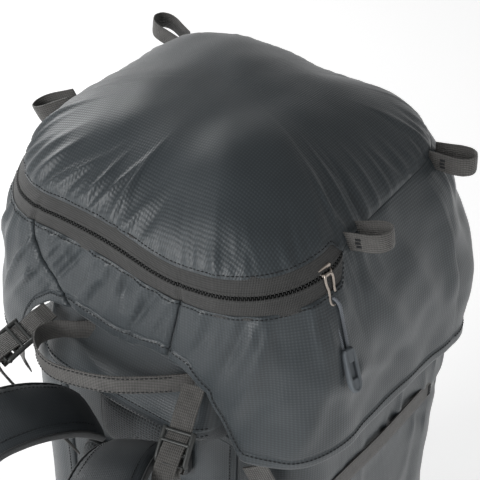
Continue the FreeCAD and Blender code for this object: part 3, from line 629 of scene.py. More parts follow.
def woven_tape(name, base, dark, pitch, relief_mm, rough):
    """Woven polyester: fine ribs across the run, matt, a little worn. The pitch is in millimetres."""
    material, tree, shader = new_material(name)
    uv = add(tree, "ShaderNodeUVMap").outputs[0]
    split = add(tree, "ShaderNodeSeparateXYZ", {"Vector": uv})
    waves = []
    for output, size in ((split.outputs[0], pitch), (split.outputs[1], pitch * 1.25)):
        turn = add(tree, "ShaderNodeMath", {0: output, 1: 2 * math.pi / size}, operation="MULTIPLY")
        waves.append(add(tree, "ShaderNodeMath", {0: turn.outputs[0]}, operation="SINE").outputs[0])
    weave = add(tree, "ShaderNodeMath", {0: waves[1], 1: 0.45, 2: waves[0]}, operation="MULTIPLY_ADD")
    wear_map = add(tree, "ShaderNodeMapping", {"Vector": uv, "Scale": [1 / TAPE_WEAR_MM] * 3})
    wear = add(tree, "ShaderNodeTexNoise", {"Vector": wear_map.outputs[0], "Scale": 1.0, "Detail": 5.0})
    shade = add(tree, "ShaderNodeMath", {0: weave.outputs[0], 1: 0.22, 2: wear.outputs[0]},
                operation="MULTIPLY_ADD")
    tone = add(tree, "ShaderNodeMix", {"Factor": shade.outputs[0], "A": linear(dark), "B": linear(base)},
               data_type="RGBA")
    relief = add(tree, "ShaderNodeBump", {"Height": weave.outputs[0], "Strength": 0.7,
                                          "Distance": relief_mm * MM})
    plug(tree, shader, {"Base Color": tone.outputs["Result"], "Normal": relief.outputs[0],
                        "Roughness": rough, "Sheen Weight": 0.2})
    return material


zip_weave = woven_tape("woven zip tape", "#434342", "#2E2E2E", 1.1, 0.2, 0.7)
coil_nylon, coil_tree, coil_shader = new_material("nylon coil")
plug(coil_tree, coil_shader, {"Base Color": linear("#383939"), "Roughness": 0.45})

COIL_HALF = 1.9
TAPE_THICK = 0.6
zip_top = np.concatenate([dome[0, zip_columns, :2], (upper_edge[zip_columns])[:, None]], axis=1)
zip_low = np.concatenate([skirt[0, zip_columns, :2], (lower_edge[zip_columns])[:, None]], axis=1)
zip_mid = (zip_top + zip_low) / 2
zip_down = unit(zip_low - zip_top)
zip_along = unit(np.gradient(zip_mid, axis=0))
zip_out = np.cross(zip_along, zip_down)
if (zip_out[:, :2] * zip_mid[:, :2]).sum() < 0:
    zip_out = -zip_out
zip_s = ring_s[zip_columns]
for label, sign, start, cad_name in (("zip_tape_above", -1, zip_top, "zip_tape_upper"),
                                     ("zip_tape_below", 1, zip_low, "zip_tape_lower")):
    rows = []
    coords = []
    inner = zip_mid + zip_down * sign * COIL_HALF * 0.7 + zip_out * 0.2
    outer = start + zip_down * sign * 3.0 - zip_out * 0.9
    waves = np.sin(zip_s / 9.0 + 1.3 * sign) * 0.35 + np.sin(zip_s / 23.0) * 0.5
    for share in np.linspace(0, 1, 14):
        bow = math.sin(math.pi * share) * 0.35 + 0.55 * math.exp(-((share - 0.08) / 0.07) ** 2)
        rows.append(inner * (1 - share) + outer * share + zip_out * (bow + waves * share)[:, None])
        coords.append(np.stack([zip_s, np.full(len(zip_s), share * 12.0)], axis=-1))
    order = slice(None, None, 1) if sign > 0 else slice(None, None, -1)
    tape = thicken(grid_mesh(label, np.array(rows)[order], np.array(coords)[order]), TAPE_THICK)
    finish_piece(tape, "lid", zip_weave, [cad_name])


def beads(name, centres, along, across, out, size, body, material, replaced=()):
    """Many small rounded blocks in one mesh, each with its own axes, sizes in millimetres."""
    shape = [(-1, -0.55, 0), (-1, 0.55, 0), (1, 0.55, 0), (1, -0.55, 0), (-0.8, -0.35, 1), (-0.8, 0.35, 1),
             (0.8, 0.35, 1), (0.8, -0.35, 1)]
    quads = [(0, 1, 5, 4), (1, 2, 6, 5), (2, 3, 7, 6), (3, 0, 4, 7), (4, 5, 6, 7), (3, 2, 1, 0)]
    verts, faces = [], []
    for centre, a, c, o in zip(centres, along, across, out):
        base = len(verts)
        verts += [centre + c * p[0] * size[0] + a * p[1] * size[1] + o * p[2] * size[2] for p in shape]
        faces += [tuple(base + i for i in quad) for quad in quads]
    return finish_piece(mesh_object(name, verts, faces), body, material, replaced, smooth=False)


zip_far = run_length(zip_mid)
TOOTH_PITCH = 1.45
teeth = []
for number in range(int(zip_far[-1] / TOOTH_PITCH)):
    where = (number + 0.5) * TOOTH_PITCH
    pick = [np.array([np.interp(where, zip_far, source[:, k]) for k in range(3)])
            for source in (zip_mid, zip_along, zip_down, zip_out)]
    side = 1 if number % 2 else -1
    teeth.append((pick[0] + pick[2] * side * 0.75 + pick[3] * 0.35, pick[1], pick[2], pick[3]))
centres, along, across, out = [np.array(column) for column in zip(*teeth)]
beads("zip_teeth", centres, along, across, out, (1.25, 0.62, 0.75), "lid", coil_nylon, ["zip_coil"])

# ---------------------------------------------------------------- webbing: loops, haul loop and lifters
# Flat woven polyester, grosgrain ribbed, with slightly thinner selvedges. The loops are folded into
# the lid's seam and bar-tacked; the haul loop is sewn into the seam under the frame cap, on its edge.

webbing_weave = woven_tape("ribbed polyester webbing", "#666461", "#3A3937", 1.7, 0.35, 0.6)
narrow_weave = woven_tape("fine polyester webbing", "#53514E", "#373532", 1.3, 0.22, 0.65)


def smooth_path(points, spacing=2.0):
    """A smooth line through points, in even steps."""
    points = np.array(points, float)
    ends = np.vstack([2 * points[0] - points[1], points, 2 * points[-1] - points[-2]])
    share = np.linspace(0, 1, 24, endpoint=False)[:, None]
    dense = []
    for number in range(len(points) - 1):
        before, here, there, after = ends[number:number + 4]
        dense.append(0.5 * (2 * here + (there - before) * share
                            + (2 * before - 5 * here + 4 * there - after) * share ** 2
                            + (3 * here - before - 3 * there + after) * share ** 3))
    dense = np.vstack(dense + [points[-1:]])
    far = run_length(dense)
    wanted = np.linspace(0, far[-1], max(3, int(far[-1] / spacing) + 1))
    return np.stack([np.interp(wanted, far, dense[:, k]) for k in range(3)], axis=-1)


def path_frames(path, side):
    """Unit vectors along, across and out at each point of a path."""
    along = unit(np.gradient(path, axis=0))
    side = np.broadcast_to(np.asarray(side, float), path.shape)
    across = unit(side - along * (side * along).sum(axis=1, keepdims=True))
    return along, across, np.cross(across, along)


def outward_faces(piece):
    """Turns every face of closed shapes outward."""
    shape = bmesh.new()
    shape.from_mesh(piece.data)
    bmesh.ops.remove_doubles(shape, verts=shape.verts, dist=1e-7)
    bmesh.ops.recalc_face_normals(shape, faces=shape.faces)
    shape.to_mesh(piece.data)
    shape.free()
    return piece


def sweep(name, path, side, section, width=1.0, height=1.0, lift=None):
    """A closed section, (across, out) in millimetres, carried along a path and capped at both ends."""
    along, across, out = path_frames(path, side)
    section = np.asarray(section, float)
    width = np.broadcast_to(np.asarray(width, float), (len(path),))[:, None, None]
    height = np.broadcast_to(np.asarray(height, float), (len(path),))[:, None, None]
    points = (path[:, None, :] + across[:, None, :] * section[None, :, :1] * width
              + out[:, None, :] * section[None, :, 1:] * height)
    if lift is not None:
        points += out[:, None, :] * lift[:, :, None]
    far = run_length(path)
    uv = np.stack([np.broadcast_to(section[None, :, 0], points.shape[:2]),
                   np.broadcast_to(far[:, None], points.shape[:2])], axis=-1)
    points = np.concatenate([np.broadcast_to(path[:1, None], points[:1].shape), points,
                             np.broadcast_to(path[-1:, None], points[:1].shape)])
    uv = np.concatenate([uv[:1], uv, uv[-1:]])
    return outward_faces(grid_mesh(name, points, uv, close=True))


def ribbon_section(wide, thick):
    """A flat section that thins towards its selvedges."""
    across = np.linspace(-1, 1, 9)
    crown = thick / 2 * (1 - 0.45 * np.abs(across) ** 6)
    top = np.stack([across * wide / 2, crown], axis=-1)
    return np.concatenate([top, (top * (1, -1))[::-1]])


def webbing(name, points, side, wide, body, replaced=(), thick=1.8, material=None, spacing=2.0):
    """A length of webbing through points, its width lying along side. Returns its path."""
    path = smooth_path(points, spacing)
    piece = sweep(name, path, side, ribbon_section(wide, thick))
    piece.modifiers.new("crisp folds", "EDGE_SPLIT").split_angle = math.radians(60)
    finish_piece(piece, body, material or webbing_weave, replaced)
    return path


def bar_tack(name, centre, across, along, out, wide, body):
    """A dense zigzag of thread over the end of a webbing."""
    centre, across, along, out = [np.asarray(v, float) for v in (centre, across, along, out)]
    lines = []
    for lane in np.linspace(-1, 1, 5):
        zigzag = [centre + across * wide / 2 * 0.9 * t + along * (lane * 1.7 + 0.35 * (-1) ** i)
                  for i, t in enumerate(np.linspace(-1, 1, 14))]
        zigzag = smooth_path(zigzag, 0.8) + out * 0.25
        lines.append((zigzag, np.broadcast_to(out, zigzag.shape)))
    stitching(name, lines, body)


LOOP_SHAPE = [(-8, -7), (4, -8.5), (13, -9.8), (21, -9), (26.6, -5), (28, 0), (26.6, 5), (21, 9),
              (13, 9.8), (4, 8.5), (-8, 7)]
LOOPS = {"rear_left": ((143.6, -40, 644), (30, 8, 6), 0.5), "front_left": ((141, 84, 646), (36, 6, 2), 0.2),
         "rear_right": ((-148.5, -36, 646), (-36, -15, -18), 0.3),
         "front_right": ((-140, 100, 650), (-36, 7, 6), 0.1)}
for label, (root, direction, skew) in LOOPS.items():
    outward = unit(direction)
    tall = unit(np.array((0, 0, 1)) - outward * outward[2])
    beside = np.cross(tall, outward)
    points = [np.array(root) + outward * x + beside * y + tall * skew * 0.05 * (x - 18)
              for x, y in LOOP_SHAPE]
    lean = unit(tall + outward * 0.12 * skew)
    webbing(f"lid_loop_{label}_webbing", points, lean, 15.5, "lid", [f"lid_loop_{label}"], 1.5)
    bar_tack(f"lid_loop_{label}_tack", np.array(root) + outward * 4 - beside * 9.3, tall, outward, -beside,
             15, "lid")

HAUL_SHAPE = [(68, 9), (58, -1), (44, -14), (22, -31), (-2, -42), (-30, -48), (-52, -40), (-64, -25),
              (-58, -10), (-44, 0), (-34, 9)]
HAUL_WIDE = 18.5
HAUL_LEAN = (0, -0.1, 1)
haul_path = webbing("haul_loop_webbing", [(x, y - 147, 529) for x, y in HAUL_SHAPE], HAUL_LEAN, HAUL_WIDE,
                    "haul_loop", ["haul_loop"])
_, haul_across, haul_out = path_frames(haul_path, HAUL_LEAN)
haul_lines = []
for edge_at in (-7.5, 7.5):
    line = haul_path + haul_across * edge_at + haul_out * 0.95
    haul_lines.append((line[8:-8], haul_out[8:-8]))
stitching("haul_loop_stitching", haul_lines, "haul_loop")

LOCKS = {"left": ((85, -190, 492), 1), "right": ((-88, -192, 512), -1)}


def lock_frame(side):
    """A ladderlock's foot, its sign in x, its lifter's upper end, and its up, across and out."""
    base, sign = LOCKS[side]
    base = np.array(base, float)
    end = np.array((sign * 74, -147.5, 535))
    up = unit(end - base)
    across = np.array((1.0, 0, 0))
    out = unit(np.cross(across, up))
    return base, sign, end, up, unit(np.cross(up, out)), out if out[1] < 0 else -out


pad_cloth = coated_nylon("padded harness cloth", "#3B4145", "#32373B", 1.6, 0.42)
for side in LOCKS:
    base, sign, end, up, across, out = lock_frame(side)
    taut = [base + up * 9 - out * 2.2, base + up * 17 + out * 3.0, base + up * 25 + out * 1.0,
            base + up * 40 + out * 1.2, end - up * 6, end]
    webbing(f"lifter_webbing_{side}", taut, across, 19.5, "pack", ["lifter_webbings"])
    slack = [base + up * 15 + out * 4.4, base + up * 6 + out * 6.5, base - up * 10 + out * 7.5,
             base - up * 26 + out * 5 + across * 4, base - up * 42 + out * 2 + across * 7]
    webbing(f"lifter_tail_{side}", slack, across, 19, "pack", spacing=2.5)
    low = np.array((sign * 64, -145.0, 384))
    middle = (low + base) / 2 + np.array((sign * 4, -5, 0))
    anchorage = [low, middle, base - up * 8 + out * 0.4, base + up * 3.2 + out * 1.6,
                 base + up * 5.5 - out * 2.4, base - up * 5 - out * 2.4]
    webbing(f"lifter_pad_{side}", anchorage, across, 21.5, "pack", ["lifter_pads"], 2.2, narrow_weave)
    low = np.array((sign * 138, -121.0, 424))
    high = np.array((sign * 124, -138.0, 472))
    webbing(f"lid_anchor_strap_{side}", [low, low * 0.6 + high * 0.4 + np.array((sign, -2.5, 0)), high],
            (0.85, 0.45 * sign, 0), 20, "pack", ["lid_anchor_straps"])

# ---------------------------------------------------------------- ladderlocks
# Moulded acetal: two side rails with rounded bars between them; the lowest bar turns up as a lip
# for the thumb. A fine texture from the mould dulls it.


MOULD_WEAR_MM = 8.3333


def moulded(name, colour, rough, grain_mm, relief_mm):
    """Injection-moulded plastic with a fine spark-eroded texture."""
    material, tree, shader = new_material(name)
    place = add(tree, "ShaderNodeTexCoord").outputs["Object"]
    grain = add(tree, "ShaderNodeTexNoise", {"Vector": place, "Scale": 1 / (grain_mm * MM), "Detail": 3.0})
    wear = add(tree, "ShaderNodeTexNoise", {"Vector": place, "Scale": 1 / (MOULD_WEAR_MM * MM),
                                            "Detail": 4.0})
    plain = linear(colour)[:3]
    tone = add(tree, "ShaderNodeMix", {"Factor": wear.outputs[0], "A": [c * 0.8 for c in plain] + [1],
                                       "B": [min(1, c * 1.2) for c in plain] + [1]}, data_type="RGBA")
    relief = add(tree, "ShaderNodeBump", {"Height": grain.outputs[0], "Strength": 0.5,
                                          "Distance": relief_mm * MM})
    plug(tree, shader, {"Base Color": tone.outputs["Result"], "Normal": relief.outputs[0],
                        "Roughness": rough, "IOR": 1.48})
    return material


acetal = moulded("moulded acetal, spark textured", "#3C3E3D", 0.42, 0.4, 0.05)


def signed_power(values, power):
    """Values raised to a power, each keeping its sign."""
    return np.sign(values) * np.abs(values) ** power


def round_section(wide, thick, power=2.6, count=16):
    """A rounded section; a higher power makes it squarer."""
    turn = np.linspace(0, 2 * math.pi, count, endpoint=False)
    return np.stack([signed_power(np.cos(turn), 2 / power) * wide / 2,
                     signed_power(np.sin(turn), 2 / power) * thick / 2], axis=-1)


def joined(name, parts):
    """Makes one object of several, keeping their UVs."""
    verts, faces, uv = [], [], []
    for part in parts:
        base = len(verts)
        verts += [tuple(v.co) for v in part.data.vertices]
        layer = part.data.uv_layers.active
        for face in part.data.polygons:
            faces.append([base + i for i in face.vertices])
            uv += [tuple(layer.data[i].uv) if layer else (0, 0) for i in face.loop_indices]
        bpy.data.objects.remove(part)
    mesh = bpy.data.meshes.new(name)
    mesh.from_pydata(verts, [], faces)
    layer = mesh.uv_layers.new(name="UVMap")
    layer.data.foreach_set("uv", np.array(uv, np.float32).ravel())
    piece = bpy.data.objects.new(name, mesh)
    scene.collection.objects.link(piece)
    return piece


for side in LOCKS:
    base, sign, end, up, across, out = lock_frame(side)
    parts = []
    for edge in (-1, 1):
        rail = [base + across * edge * 12.6 + up * t + out * lift
                for t, lift in ((0.5, 1.2), (3, 2.4), (9, 2.7), (18, 2.6), (24, 2.2), (27, 1.6))]
        parts.append(sweep(f"rail_{side}_{edge}", smooth_path(rail, 1.2), across, round_section(3.6, 4.6)))
    for rise, lift, thick in ((1.6, 2.0, 3.4), (9.6, 2.6, 3.0), (16.6, 3.6, 3.2), (25, 2.0, 3.6)):
        bar = [base + across * t + up * rise + out * (lift + 0.5 * (1 - abs(t) / 13))
               for t in (-13, -6, 0, 6, 13)]
        parts.append(sweep(f"bar_{side}_{rise}", smooth_path(bar, 1.5), up, round_section(2.8, thick)))
    lip = [base + across * t - up * 1.6 + out * (5.4 - 0.03 * t * t) for t in (-11, -5.5, 0, 5.5, 11)]
    parts.append(sweep(f"lip_{side}", smooth_path(lip, 1.5), up * 0.6 + out, round_section(7, 2.0)))
    ladderlock = joined(f"ladderlock_moulding_{side}", parts)
    finish_piece(ladderlock, "pack", acetal, ["ladderlocks"])

# ---------------------------------------------------------------- zip slider, bail, pull cord and grip
# Die-cast zinc slider with a wire bail, tumbled and plated; a limp braided cord loops through the
# bail, and both ends are moulded into a U-shaped rubber grip.


def worn_metal(name, colour, roughness, patch_mm, detail=2.0):
    """Metal whose polish varies, from one roughness to another, over patches (x, y, z) in millimetres."""
    material, tree, shader = new_material(name)
    place = add(tree, "ShaderNodeTexCoord")
    patch_map = add(tree, "ShaderNodeMapping", {"Vector": place.outputs["Object"],
                                                "Scale": [1 / (size * MM) for size in patch_mm]})
    wear = add(tree, "ShaderNodeTexNoise", {"Vector": patch_map.outputs[0], "Scale": 1.0, "Detail": detail})
    rough = add(tree, "ShaderNodeMapRange", {"Value": wear.outputs[0], "To Min": roughness[0],
                                             "To Max": roughness[1]})
    plug(tree, shader, {"Base Color": linear(colour), "Metallic": 1.0, "Roughness": rough.outputs[0]})
    return material


zip_zinc = worn_metal("plated zinc, tumbled", "#B5ABA2", (0.22, 0.5), (1.42857, 1.42857, 1.42857), 4.0)

# The corner that the zip turns round: its centre, its axis and where the slider stands at rest.
ZIP_TILT = math.radians(10)
ZIP_AXIS = np.array((0, math.sin(ZIP_TILT), -math.cos(ZIP_TILT)))
ZIP_CENTRE = np.array((72.0, -62.0, 636.0))
SLIDER_AT = 13.5
OUTER_PLATE = 70.9
INNER_PLATE = 63.2


def zip_corner(angle, radius, rise=0.0):
    """A point about the zip's left corner, angle in degrees back from outboard."""
    turn = math.radians(angle)
    flat = np.array((radius * math.cos(turn), -radius * math.sin(turn), rise))
    c, s = math.cos(ZIP_TILT), math.sin(ZIP_TILT)
    return ZIP_CENTRE + np.array((flat[0], flat[1] * c - flat[2] * s, flat[1] * s + flat[2] * c))


slider_parts = []
for radius, thick in ((OUTER_PLATE, 2.3), (INNER_PLATE, 2.2)):
    spine = [zip_corner(SLIDER_AT + a, radius) for a in (-5.0, -2.5, 0, 2.5, 5.0)]
    path = smooth_path(spine, 0.8)
    taper = 1 - 0.24 * np.linspace(0, 1, len(path)) ** 2
    taper[0] *= 0.86
    taper[-1] *= 0.8
    slider_parts.append(sweep(f"slider_plate_{radius}", path, -ZIP_AXIS,
                              round_section(10.6, thick, 5, 24), taper))
post = [zip_corner(SLIDER_AT + 3.6, r) for r in (INNER_PLATE, 66, 68.5, OUTER_PLATE)]
slider_parts.append(sweep("slider_post", smooth_path(post, 1.0), -ZIP_AXIS, round_section(2.6, 2.6)))
bridge = [zip_corner(SLIDER_AT + turn, radius)
          for turn, radius in ((-4.2, 71.6), (-2.8, 74.6), (0.6, 75.4), (3.2, 74.0), (4.2, 71.6))]
slider_parts.append(sweep("slider_bridge", smooth_path(bridge, 0.7), -ZIP_AXIS, round_section(3.2, 1.5, 3)))
finish_piece(joined("zip_slider_casting", slider_parts), "zip_slider", zip_zinc, ["zip_slider"])

# The puller's own axes at rest: it hangs from the slider's bridge, leaning out with the lid's side.
PULL_TOP = np.array((144.15, -79.06, 632.99))
PULL_X = np.array((0.23345, 0.97237, 0))
PULL_Y = np.array((-0.35638, 0.08556, 0.93042))
PULL_Z = np.array((0.90471, -0.21721, 0.36651))


def on_pull(x, y, z):
    """A point of the puller's own frame: y runs up it and z away from the lid."""
    return PULL_TOP + PULL_X * x + PULL_Y * y + PULL_Z * z


def ring_sweep(name, points, side, section):
    """A closed loop of wire through points."""
    path = smooth_path(list(points) + [points[0], points[1]], 0.6)
    keep = len(smooth_path(list(points) + [points[0]], 0.6))
    return sweep(name, path[:keep + 1], side, section)


BAIL_SIDE = [(2.6, -0.3), (3.6, -3), (3.4, -8), (2.7, -12), (3.0, -17), (3.4, -21), (2.4, -23.6)]
BAIL_SHAPE = [(0, 0.4), *BAIL_SIDE, (0, -24.4), *[(-x, y) for x, y in reversed(BAIL_SIDE)]]
bail_wire = [on_pull(x, y, 1.0 + 0.5 * math.exp(-((y + 1) / 3) ** 2)) for x, y in BAIL_SHAPE]
finish_piece(ring_sweep("zip_pull_wire", bail_wire, PULL_Z, round_section(2.0, 2.2, 2)), "zip_pull", zip_zinc,
             ["zip_pull_bail"])

braid, braid_tree, braid_shader = new_material("braided polyester cord")
braid_place = add(braid_tree, "ShaderNodeTexCoord")
braid_wave = add(braid_tree, "ShaderNodeTexWave", {"Vector": braid_place.outputs["Object"], "Scale": 420.0,
                                                   "Distortion": 3.0},
                 wave_type="BANDS", bands_direction="DIAGONAL")
braid_tone = add(braid_tree, "ShaderNodeMix", {"Factor": braid_wave.outputs["Color"], "A": linear("#565A60"),
                                               "B": linear("#868B92")}, data_type="RGBA")
braid_relief = add(braid_tree, "ShaderNodeBump", {"Height": braid_wave.outputs["Color"], "Strength": 0.6,
                                                  "Distance": 0.25 * MM})
plug(braid_tree, braid_shader, {"Base Color": braid_tone.outputs["Result"], "Roughness": 0.7,
                                "Normal": braid_relief.outputs[0]})

CORD_ROUTE = [(-2.2, -62, 1), (-2.6, -47, 0.8), (-2.2, -33, -0.4), (-1.9, -27.2, -2.4), (-1.0, -19.6, -2.2),
              (-0.4, -18.8, 3.6), (1.4, -24.6, 5.2), (2.4, -33, 3.2), (2.7, -47, 1.6), (2.2, -62, 1)]
cord_points = [on_pull(*point) * MM for point in CORD_ROUTE]
cord_curve = bpy.data.curves.new("zip_pull_braid", "CURVE")
cord_curve.dimensions = "3D"
cord_spline = cord_curve.splines.new("NURBS")
cord_spline.points.add(len(cord_points) - 1)
for point, place in zip(cord_spline.points, cord_points):
    point.co = (*place, 1)
cord_spline.order_u = 3
cord_spline.use_endpoint_u = True
cord_spline.resolution_u = 16
CORD_DIAMETER = 0.0028
cord_curve.bevel_depth = CORD_DIAMETER / 2
cord_curve.bevel_resolution = 4
pull_cord = bpy.data.objects.new("zip_pull_braid", cord_curve)
scene.collection.objects.link(pull_cord)
finish_piece(pull_cord, "zip_pull", braid, ["zip_pull_cord"])

grip_rubber = moulded("moulded rubber, matt", "#62686D", 0.55, 0.5, 0.06)
GRIP_LIFT = 2.7
GRIP_SIDE = [(-2.6, -60.5), (-4.0, -64), (-4.2, -72), (-4.1, -84), (-3.2, -92)]
GRIP_SHAPE = [*GRIP_SIDE, (0, -94.6), *[(-x, y) for x, y in reversed(GRIP_SIDE)]]
rim_path = smooth_path([on_pull(x, y, GRIP_LIFT) for x, y in GRIP_SHAPE], 0.8)
grip_parts = [sweep("grip_rim", rim_path, PULL_Z, round_section(6.4, 2.9, 3.5, 20))]
head_path = smooth_path([on_pull(0, y, GRIP_LIFT) for y in (-60.2, -62, -66, -69.5, -70.6)], 0.8)
grip_parts.append(sweep("grip_head", head_path, PULL_X, round_section(8.6, 6.2, 3, 20),
                        0.72 + 0.28 * np.sin(np.linspace(0.25, math.pi * 0.85, len(head_path)))))
foot_path = smooth_path([on_pull(0, y, GRIP_LIFT) for y in (-84.5, -86, -90, -94, -95.6)], 0.8)
grip_parts.append(sweep("grip_foot", foot_path, PULL_X, round_section(8.4, 5.2, 3, 20),
                        0.7 + 0.3 * np.sin(np.linspace(0.6, math.pi * 0.95, len(foot_path)))))
web = [on_pull(0, y, 2.2) for y in (-69, -74, -80, -86)]
grip_parts.append(sweep("grip_web", smooth_path(web, 1.5), PULL_X, round_section(5.6, 1.6, 4)))
finish_piece(joined("zip_pull_rubber", grip_parts), "zip_pull", grip_rubber, ["zip_pull_grip"])

# A mesh of the cord's own line, without its thickness, is made from a copy of its curve.
cord_line = bpy.data.objects.new("cord measure", cord_curve.copy())
cord_line.data.bevel_depth = 0
cord_shape = bpy.data.meshes.new_from_object(cord_line)
bpy.data.objects.remove(cord_line)

# ---------------------------------------------------------------- frame cap
# The padded head of the back panel, folded over the frame: shell cloth above the fold, smooth
# lining cloth below it, quilted soft and slightly loose.

CAP_PROFILE = [(-121, 540), (-129, 544), (-136, 540), (-141, 526), (-147, 508), (-153, 494), (-155.5, 487),
               (-153, 480), (-145.5, 472), (-134, 464), (-121.5, 459)]
CAP_HALF = 91.0
cap_line = smooth_path([(0, y, z) for y, z in CAP_PROFILE], 1.5)
cap_across = np.linspace(-1, 1, 120)
CAP_BACK = -124
cap_level = cap_line[:, 2].mean()
cap = np.zeros((len(cap_line), len(cap_across), 3))
for column, share in enumerate(cap_across):
    pinch = (1 - abs(share) ** 7) ** 0.5
    cap[:, column, 0] = share * CAP_HALF
    cap[:, column, 1] = cap_line[:, 1] * pinch + CAP_BACK * (1 - pinch)
    cap[:, column, 2] = cap_line[:, 2] * (0.35 + 0.65 * pinch) + cap_level * 0.65 * (1 - pinch)
cap_far = run_length(cap_line)
cap_s = np.broadcast_to(cap[:, :, 0], cap.shape[:2])
cap_d = np.broadcast_to(cap_far[:, None], cap.shape[:2])
FOLD_AT = float(cap_far[np.argmin(cap_line[:, 1])])
cap_creases = [(-40, FOLD_AT - 24, 20, 40, 7, 1.6), (30, FOLD_AT - 30, -14, 44, 8, 1.8),
               (70, FOLD_AT - 20, 62, 26, 6, -1.6), (-66, FOLD_AT - 28, -50, 26, 6, 1.5),
               (0, FOLD_AT + 16, 8, 50, 7, 1.6), (48, FOLD_AT + 22, -24, 34, 6, 1.6),
               (-52, FOLD_AT + 20, 28, 34, 6, -1.5)]
cap_height = folds(cap_s, cap_d, cap_creases) + ripple(cap, 42, 2.4, 3.0)
cap_height -= 1.3 * bell(cap_d - FOLD_AT - 2, 1.5)
cap_normal = grid_normals(cap)
if (cap_normal[:, :, 1] * (cap[:, :, 1] - CAP_BACK)).sum() < 0:
    cap_normal = -cap_normal
cap += cap_normal * cap_height[:, :, None] * (1 - np.abs(cap_across) ** 6)[None, :, None]
fold_row = int(np.argmin(np.abs(cap_far - FOLD_AT - 2)))
cap_uv = np.stack([cap_s, cap_d], axis=-1)
upper_cap = grid_mesh("frame_cap_upper", cap[:fold_row + 1], cap_uv[:fold_row + 1])
finish_piece(upper_cap, "pack", shell_nylon, ["frame_cap"])
lower_cap = grid_mesh("frame_cap_lower", cap[fold_row:], cap_uv[fold_row:])
finish_piece(lower_cap, "pack", lining_nylon, ["frame_cap"])
cap_lines = []
for row in (fold_row - 3, fold_row + 3):
    cap_lines.append((cap[row, 3:-3] + cap_normal[row, 3:-3] * 0.2, cap_normal[row, 3:-3]))
stitching("frame_cap_stitching", cap_lines, "pack")

# ---------------------------------------------------------------- sack
# The main bag: a rounded tube of shell cloth, sewn from four panels on a darker base, with a
# drawcord collar. It sags in soft folds, and gathers where elastic pulls it in below the lid.

SACK_LEVELS = [4, 20, 45, 458]
SACK_HALF = [132, 140, 146, 150]
SACK_REAR = [108, 115, 120, 120]
SACK_FORE = [111, 118, 125, 129]
SACK_CORNER = [45, 48, 50, 44]
BASE_TOP = 76


def sack_outline(z):
    """The sack's half width, rear, fore and corner at height z."""
    return [np.interp(z, SACK_LEVELS, values)
            for values in (SACK_HALF, SACK_REAR, SACK_FORE, SACK_CORNER)]


SACK_ROWS = 190
SACK_TOP = 458
SACK_FOLD_GAIN = 1.4
sack_z = np.linspace(SACK_TOP, 4, SACK_ROWS)
sack = np.zeros((SACK_ROWS, RING_STEPS, 3))
for row, level in enumerate(sack_z):
    sack[row, :, :2] = ring_points(*sack_outline(level))
    sack[row, :, 2] = level
sack_ring, sack_round = ring_length(sack[0, :, :2])
SACK_X, SACK_Y = sack[0, :, 0], sack[0, :, 1]


def sack_at(x, y):
    """Distance along the sack's ring of the point nearest to x, y."""
    return float(sack_ring[np.argmin((SACK_X - x) ** 2 + (SACK_Y - y) ** 2)])


sack_s = np.broadcast_to(sack_ring, sack.shape[:2])
sack_d = np.broadcast_to((SACK_TOP - sack_z)[:, None], sack.shape[:2])
dice = random.Random(51)
sack_creases = gathers(31, sack_at(150, 125), sack_at(150, -80), 0, 90, 8, 40, 3.2, 2.4)
sack_creases += gathers(32, sack_at(-150, -80), sack_at(-150, 100), 0, 90, 9, 34, 3.0, 1.6)
sack_creases += gathers(33, sack_at(-100, 129), sack_round, 0, 90, 12, 40, 3.6, 1.7)
for centre in (sack_at(150, 0), sack_at(-150, 0)):
    for _ in range(22):
        sack_creases.append((centre + dice.uniform(-70, 70), dice.uniform(40, 290), dice.uniform(40, 140),
                             dice.uniform(26, 62), dice.uniform(5, 10), dice.uniform(-2.0, 2.4)))
for _ in range(30):
    sack_creases.append((sack_at(0, 129) + dice.uniform(-110, 110), dice.uniform(30, 400),
                         dice.uniform(30, 150), dice.uniform(26, 70), dice.uniform(5, 11),
                         dice.uniform(-2.0, 2.4)))
STRAPS_BELOW_TOP = (63, 208)
for level in STRAPS_BELOW_TOP:
    for centre in (sack_at(150, 0), sack_at(-150, 0)):
        for _ in range(9):
            sack_creases.append((centre + dice.uniform(-76, 76), level + dice.uniform(-26, 26),
                                 dice.uniform(78, 104), dice.uniform(14, 26), dice.uniform(3, 5),
                                 dice.uniform(0.8, 1.8)))
sack_height = SACK_FOLD_GAIN * folds(sack_s, sack_d, sack_creases)
sack_height = sack_height + ripple(sack, 95, 5.0, 11.0) + ripple(sack, 30, 1.4, 13.0)
behind_pads = np.clip((-SACK_Y - 96) / 16, 0, 1)[None, :] * np.ones((SACK_ROWS, 1))
sack_height = sack_height * (1 - 0.85 * behind_pads) - 1.2 * behind_pads
for level in STRAPS_BELOW_TOP:
    near_strap = bell(sack_d - level, 11) * (np.abs(SACK_X) > 140)[None, :]
    sack_height = sack_height * (1 - 0.75 * near_strap) - 1.6 * near_strap
by_side_pocket = (np.abs(SACK_X) > 140)[None, :] & (sack_z[:, None] < 190)
by_front_pocket = ((SACK_Y > 122) & (np.abs(SACK_X) < 100))[None, :] & (sack_z[:, None] < 275)
sack_height = np.where(by_side_pocket | by_front_pocket, np.minimum(sack_height, 0.4), sack_height)
sack_height = np.clip(sack_height, -6, 6)
sack_seams = [sack_at(94, -120), sack_at(-94, -120), sack_at(-94, 129), sack_at(94, 129)]
for seam_s in sack_seams:
    sack_height += sewn_seam(sack_s - seam_s, 1.5, 1.7, 2.6)
sack_height += sewn_seam(BASE_TOP - sack_z[:, None], 1.4, 1.5, 2.6)
sack_normal = grid_normals(sack, close=True)
sack += sack_normal * sack_height[:, :, None]
sack_uv = np.stack([sack_s, np.broadcast_to(sack_z[:, None], sack_s.shape)], axis=-1)
base_row = int(np.argmin(np.abs(sack_z - BASE_TOP)))
